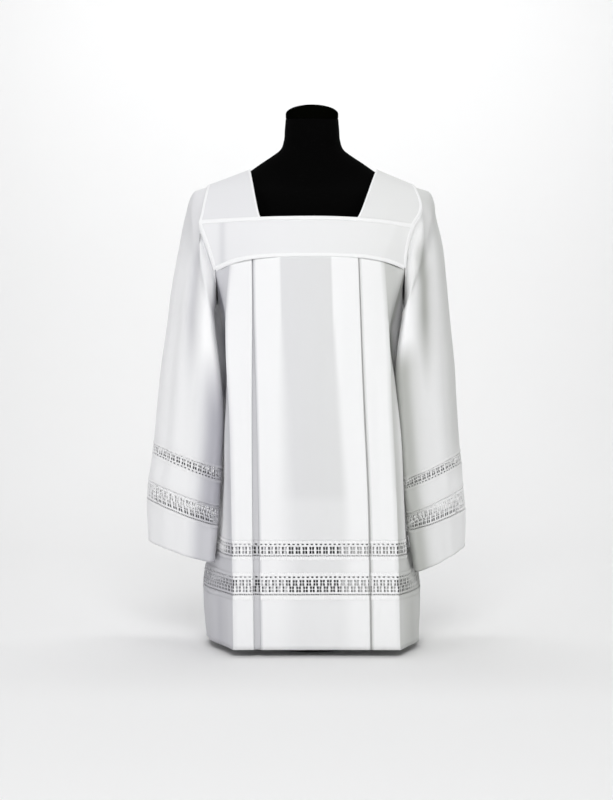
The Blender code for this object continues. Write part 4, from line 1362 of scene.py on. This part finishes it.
def form_surface(around, z):
    width, depth = smooth(FORM, "width", z), smooth(FORM, "depth", z)
    y = -depth * np.cos(2 * math.pi * around)
    lean = NECK_TILT * y * ease((z - NECK_START_Z) / (NECK_TOP_Z - NECK_START_Z))
    return width * np.sin(2 * math.pi * around), y, z + lean


def round_surface(radii, heights, tilted=False):
    """A round body from its radius at each place along its outline."""

    def surface(around, place):
        radius = np.interp(place, np.arange(len(radii)), radii)
        z = np.interp(place, np.arange(len(radii)), heights)
        y = -radius * np.cos(2 * math.pi * around)
        return radius * np.sin(2 * math.pi * around), y, z + NECK_TILT * tilted * y

    return surface


def make_form(jersey, cap_skin, steel):
    levels = steps(FORM_FOOT_Z, NECK_TOP_Z, 0.006)
    turned("form_torso", form_surface, levels, jersey, "form_body")
    base, inner = NECK_TOP_Z + FORM_GAP, CAP_RADIUS - CAP_EDGE
    edge, dome = np.linspace(0, math.pi / 2, 5), np.linspace(0.02, 1, 24) * math.pi / 2
    radii = (0, inner, *(inner + CAP_EDGE * np.sin(edge)), CAP_RADIUS, *(CAP_RADIUS * np.cos(dome)))
    heights = (0, 0, *(CAP_EDGE - CAP_EDGE * np.cos(edge)), CAP_RIM - CAP_BEND)
    heights = base + np.array((*heights, *(CAP_RIM + CAP_DOME * np.sin(dome))))
    surface = round_surface(radii, heights, tilted=True)
    turned("form_cap", surface, np.arange(len(radii)), cap_skin, "neck_cap")
    foot, top = BASE_THICKNESS + FORM_GAP, FORM_FOOT_Z - FORM_GAP
    surface = round_surface((0, POLE_RADIUS, POLE_RADIUS, 0), (foot, foot, top, top))
    turned("stand_pole", surface, np.arange(4), steel, "pole", 64)
    rim, wall_top = BASE_RADIUS - BASE_EDGE, BASE_THICKNESS - BASE_EDGE
    radii = (0, rim, BASE_RADIUS, BASE_RADIUS, rim, 0)
    heights = (0, 0, BASE_EDGE, wall_top, BASE_THICKNESS, BASE_THICKNESS)
    surface = round_surface(radii, heights)
    turned("stand_base", surface, np.arange(6), steel, "base_plate")


# Materials.


def add_node(tree, kind, inputs=None, **settings):
    """A new node with these settings, then these inputs, as values or as sockets to link."""
    made = tree.nodes.new(f"ShaderNode{kind}")
    for name, value in settings.items():
        setattr(made, name, value)
    for name, value in (inputs or {}).items():
        if isinstance(value, bpy.types.NodeSocket):
            tree.links.new(value, made.inputs[name])
        else:
            made.inputs[name].default_value = value
    return made


def mix(tree, factor, first, second, blend="MIX"):
    inputs = {"Factor": factor, "A": first, "B": second}
    return add_node(tree, "Mix", inputs, data_type="RGBA", blend_type=blend).outputs["Result"]


def new_material(name, colour, roughness, sheen=0.0, specular=0.5):
    made = bpy.data.materials.new(name)
    made.use_nodes = True
    shader = made.node_tree.nodes["Principled BSDF"]
    shader.inputs["Base Color"].default_value = (*colour, 1)
    shader.inputs["Roughness"].default_value = roughness
    shader.inputs["Sheen Weight"].default_value = sheen
    shader.inputs["Specular IOR Level"].default_value = specular
    return made, made.node_tree, shader


def add_bump(tree, shader, layers):
    """Chains bumps into the shader's normal; each layer is a height socket, how strong it
    is, and how deep in metres."""
    inputs = {}
    for height, strength, depth in layers:
        inputs |= {"Strength": strength, "Distance": depth, "Height": height}
        inputs["Normal"] = add_node(tree, "Bump", inputs).outputs["Normal"]
    tree.links.new(inputs["Normal"], shader.inputs["Normal"])


def noise(tree, coordinates, scale, detail=2.0):
    inputs = {"Vector": coordinates, "Scale": scale, "Detail": detail}
    return add_node(tree, "TexNoise", inputs).outputs["Fac"]


def wave(tree, coordinates, scale, direction):
    inputs = {"Vector": coordinates, "Scale": scale, "Distortion": 0.6, "Detail Scale": 2.0}
    return add_node(tree, "TexWave", inputs, bands_direction=direction).outputs["Fac"]


def painted_shade_white(tree, white, place):
    """A white darkened by the piece's painted shade, tinted lilac on the left and sage on the right
    as painted reflected light.
    """
    tone = add_node(tree, "Attribute", attribute_name="tone").outputs["Fac"]
    across = add_node(tree, "SeparateXYZ", {"Vector": place}).outputs["X"]
    limits = {"Value": across, "From Min": SHADE_SIDES[0], "From Max": SHADE_SIDES[1]}
    share = add_node(tree, "MapRange", limits).outputs["Result"]
    tint = mix(tree, share, (*LILAC_SHADE, 1), (*SAGE_SHADE, 1))
    return mix(tree, 1.0, (*white, 1), mix(tree, tone, tint, (1, 1, 1, 1)), "MULTIPLY")


def cloth_material(name, white):
    made, tree, shader = new_material(name, white, 0.62, sheen=0.15, specular=0.25)
    cut = add_node(tree, "UVMap", uv_map="cut").outputs["UV"]
    place = add_node(tree, "TexCoord").outputs["Object"]
    limits = {"Value": noise(tree, place, 9.0), "To Min": 0.985, "To Max": 1.0}
    cloudy = add_node(tree, "MapRange", limits).outputs["Result"]
    colour = mix(tree, 1.0, painted_shade_white(tree, white, place), cloudy, "MULTIPLY")
    tree.links.new(colour, shader.inputs["Base Color"])
    weave = [(wave(tree, cut, 260, way), 0.10, 0.0003) for way in "XY"]
    add_bump(tree, shader, [(noise(tree, place, 16.0, 3.0), 0.25, 0.004), *weave])
    return made


def lace_material():
    made, tree, shader = new_material("white_lace", LACE_WHITE, 0.75, sheen=0.1, specular=0.2)
    cut = add_node(tree, "UVMap", uv_map="cut").outputs["UV"]
    place = add_node(tree, "TexCoord").outputs["Object"]
    tree.links.new(painted_shade_white(tree, LACE_WHITE, place), shader.inputs["Base Color"])
    twist, fuzz = wave(tree, cut, 420, "DIAGONAL"), noise(tree, cut, 900)
    add_bump(tree, shader, ((twist, 0.35, 0.0005), (fuzz, 0.3, 0.0004)))
    return made


# Each with its colour, roughness, sheen and specular level, then its bumps: a wave with its
# scale and direction or a noise with its scale and detail, then how strong and how deep.
PLAIN_MATERIALS = {
    "white_thread": (LACE_WHITE, 0.5, 0.1, 0.5, (wave, 900, "DIAGONAL", 0.3, 0.0002)),
    "black_jersey": (
        *(FORM_BLACK, 0.95, 0.0, 0.03),
        *((wave, 320, "Z", 0.15, 0.0004), (noise, 700, 2.0, 0.2, 0.0003)),
    ),
    "black_cap": (CAP_BLACK, 0.9, 0.0, 0.0, (noise, 260, 3.0, 0.15, 0.0004)),
    "black_stand": (STAND_BLACK, 0.45, 0.0, 0.5, (noise, 900, 2.0, 0.25, 0.0003)),
}


def plain_material(name):
    colour, roughness, sheen, specular, *bumps = PLAIN_MATERIALS[name]
    made, tree, shader = new_material(name, colour, roughness, sheen, specular)
    place = add_node(tree, "TexCoord").outputs["Object"]
    bumps = [(kind(tree, place, scale, how), *depth) for kind, scale, how, *depth in bumps]
    add_bump(tree, shader, bumps)
    return made


# The studio.

# The floor runs level from its front to a quarter bend, then up to the end of its wall.
BACKDROP_HALF_WIDTH, BACKDROP_FRONT_Y, BACKDROP_LENGTH = 8, -4.5, 6
BACKDROP_BEND, BACKDROP_WALL = 1.2, 5
# Each softbox with its place, the point that it faces, its width and height, and its power.
SOFTBOXES = {
    "front_softbox": ((0.0, -2.9, 2.6), (0, 0, 0.6), (2.0, 1.4), 64),
    "left_softbox": ((-2.6, -1.6, 0.9), (0, 0, 0.5), (1.2, 1.8), 12),
    "right_softbox": ((2.6, -1.6, 0.9), (0, 0, 0.5), (1.2, 1.8), 7),
    "low_softbox": ((0.0, -2.4, 0.2), (0, 0, 0.05), (1.6, 0.3), 5),
    "backdrop_light": ((0.0, 0.6, 2.9), (0, 2.7, 0.9), (3.5, 0.8), 40),
}
SKY_TINTS = (0.93, 0.92, 1.0, 1), (0.98, 1.0, 0.93, 1)  # on the left and on the right
SKY_STRENGTH = 0.30
SENSOR_HEIGHT = 36  # mm
CAMERA_PLACE, CAMERA_SHIFT_Y = (-0.0118, -2.62, 0.539), -0.01125
RENDER_HEIGHT, RENDER_FOCUS = 800, 1220  # the render's height and the focal length, in pixels


def set_backdrop():
    backdrop = cut_flat((-BACKDROP_HALF_WIDTH, BACKDROP_HALF_WIDTH), np.linspace(0, 4, 41))

    def rule(across, share, _):
        turn = np.clip(share - 3, 0, 1) * math.pi / 2
        level = BACKDROP_FRONT_Y + BACKDROP_LENGTH * np.minimum(share / 3, 1)
        return across, level + BACKDROP_BEND * np.sin(turn), BACKDROP_BEND * (1 - np.cos(turn))

    bend(backdrop, rule)
    top = [vert for vert in backdrop.verts if vert.co.z > BACKDROP_BEND - 0.01]
    edges = [edge for edge in backdrop.edges if all(vert in top for vert in edge.verts)]
    raised = bmesh.ops.extrude_edge_only(backdrop, edges=edges)["geom"]
    raised = [vert for vert in raised if isinstance(vert, bmesh.types.BMVert)]
    bmesh.ops.translate(backdrop, verts=raised, vec=(0, 0, BACKDROP_WALL))
    mesh = bpy.data.meshes.new("backdrop")
    backdrop.to_mesh(mesh)
    backdrop.free()
    mesh.shade_smooth()
    made = add_object("backdrop", mesh)
    mesh.materials.append(new_material("pale_backdrop", BACKDROP_WHITE, 0.9, specular=0.1)[0])


def set_lights():
    for name, (place, aim, size, power) in SOFTBOXES.items():
        light = bpy.data.lights.new(name, "AREA")
        light.shape = "RECTANGLE"
        light.size, light.size_y = size
        light.energy = power
        lamp = add_object(name, light)
        lamp.location = place
        lamp.rotation_euler = (Vector(aim) - Vector(place)).to_track_quat("-Z", "Y").to_euler()
    world = bpy.data.worlds.new("studio")
    bpy.context.scene.world = world
    world.use_nodes = True
    tree, sky = world.node_tree, world.node_tree.nodes["Background"]
    way = add_node(tree, "TexCoord").outputs["Generated"]
    across = add_node(tree, "SeparateXYZ", {"Vector": way}).outputs["X"]
    share = add_node(tree, "MapRange", {"Value": across, "From Min": -1}).outputs["Result"]
    tree.links.new(mix(tree, share, *SKY_TINTS), sky.inputs["Color"])
    sky.inputs["Strength"].default_value = SKY_STRENGTH
    bpy.context.scene.view_settings.view_transform = "Standard"


def set_camera():
    lens = bpy.data.cameras.new("camera")
    lens.sensor_fit = "VERTICAL"
    lens.sensor_height = SENSOR_HEIGHT
    lens.lens = SENSOR_HEIGHT * RENDER_FOCUS / RENDER_HEIGHT
    lens.shift_y = CAMERA_SHIFT_Y
    view = add_object("camera", lens)
    view.location = CAMERA_PLACE
    view.rotation_euler = (math.pi / 2, 0, 0)
    bpy.context.scene.camera = view


def main():
    set_camera()
    # The second cloth is the same white darkened as painted shade, for the cloth's inner faces.
    cloth = cloth_material("white_cloth", CLOTH_WHITE), cloth_material("cloth_inside_painted_shade", CLOTH_INSIDE_SHADED)
    lace = lace_material()
    thread, jersey, cap_skin, steel = (plain_material(name) for name in PLAIN_MATERIALS)
    make_skirt(cloth)
    make_sleeves(cloth)
    make_yoke(cloth)
    make_lace(lace)
    make_seams(cloth, thread)
    make_form(jersey, cap_skin, steel)
    set_backdrop()
    set_lights()


main()
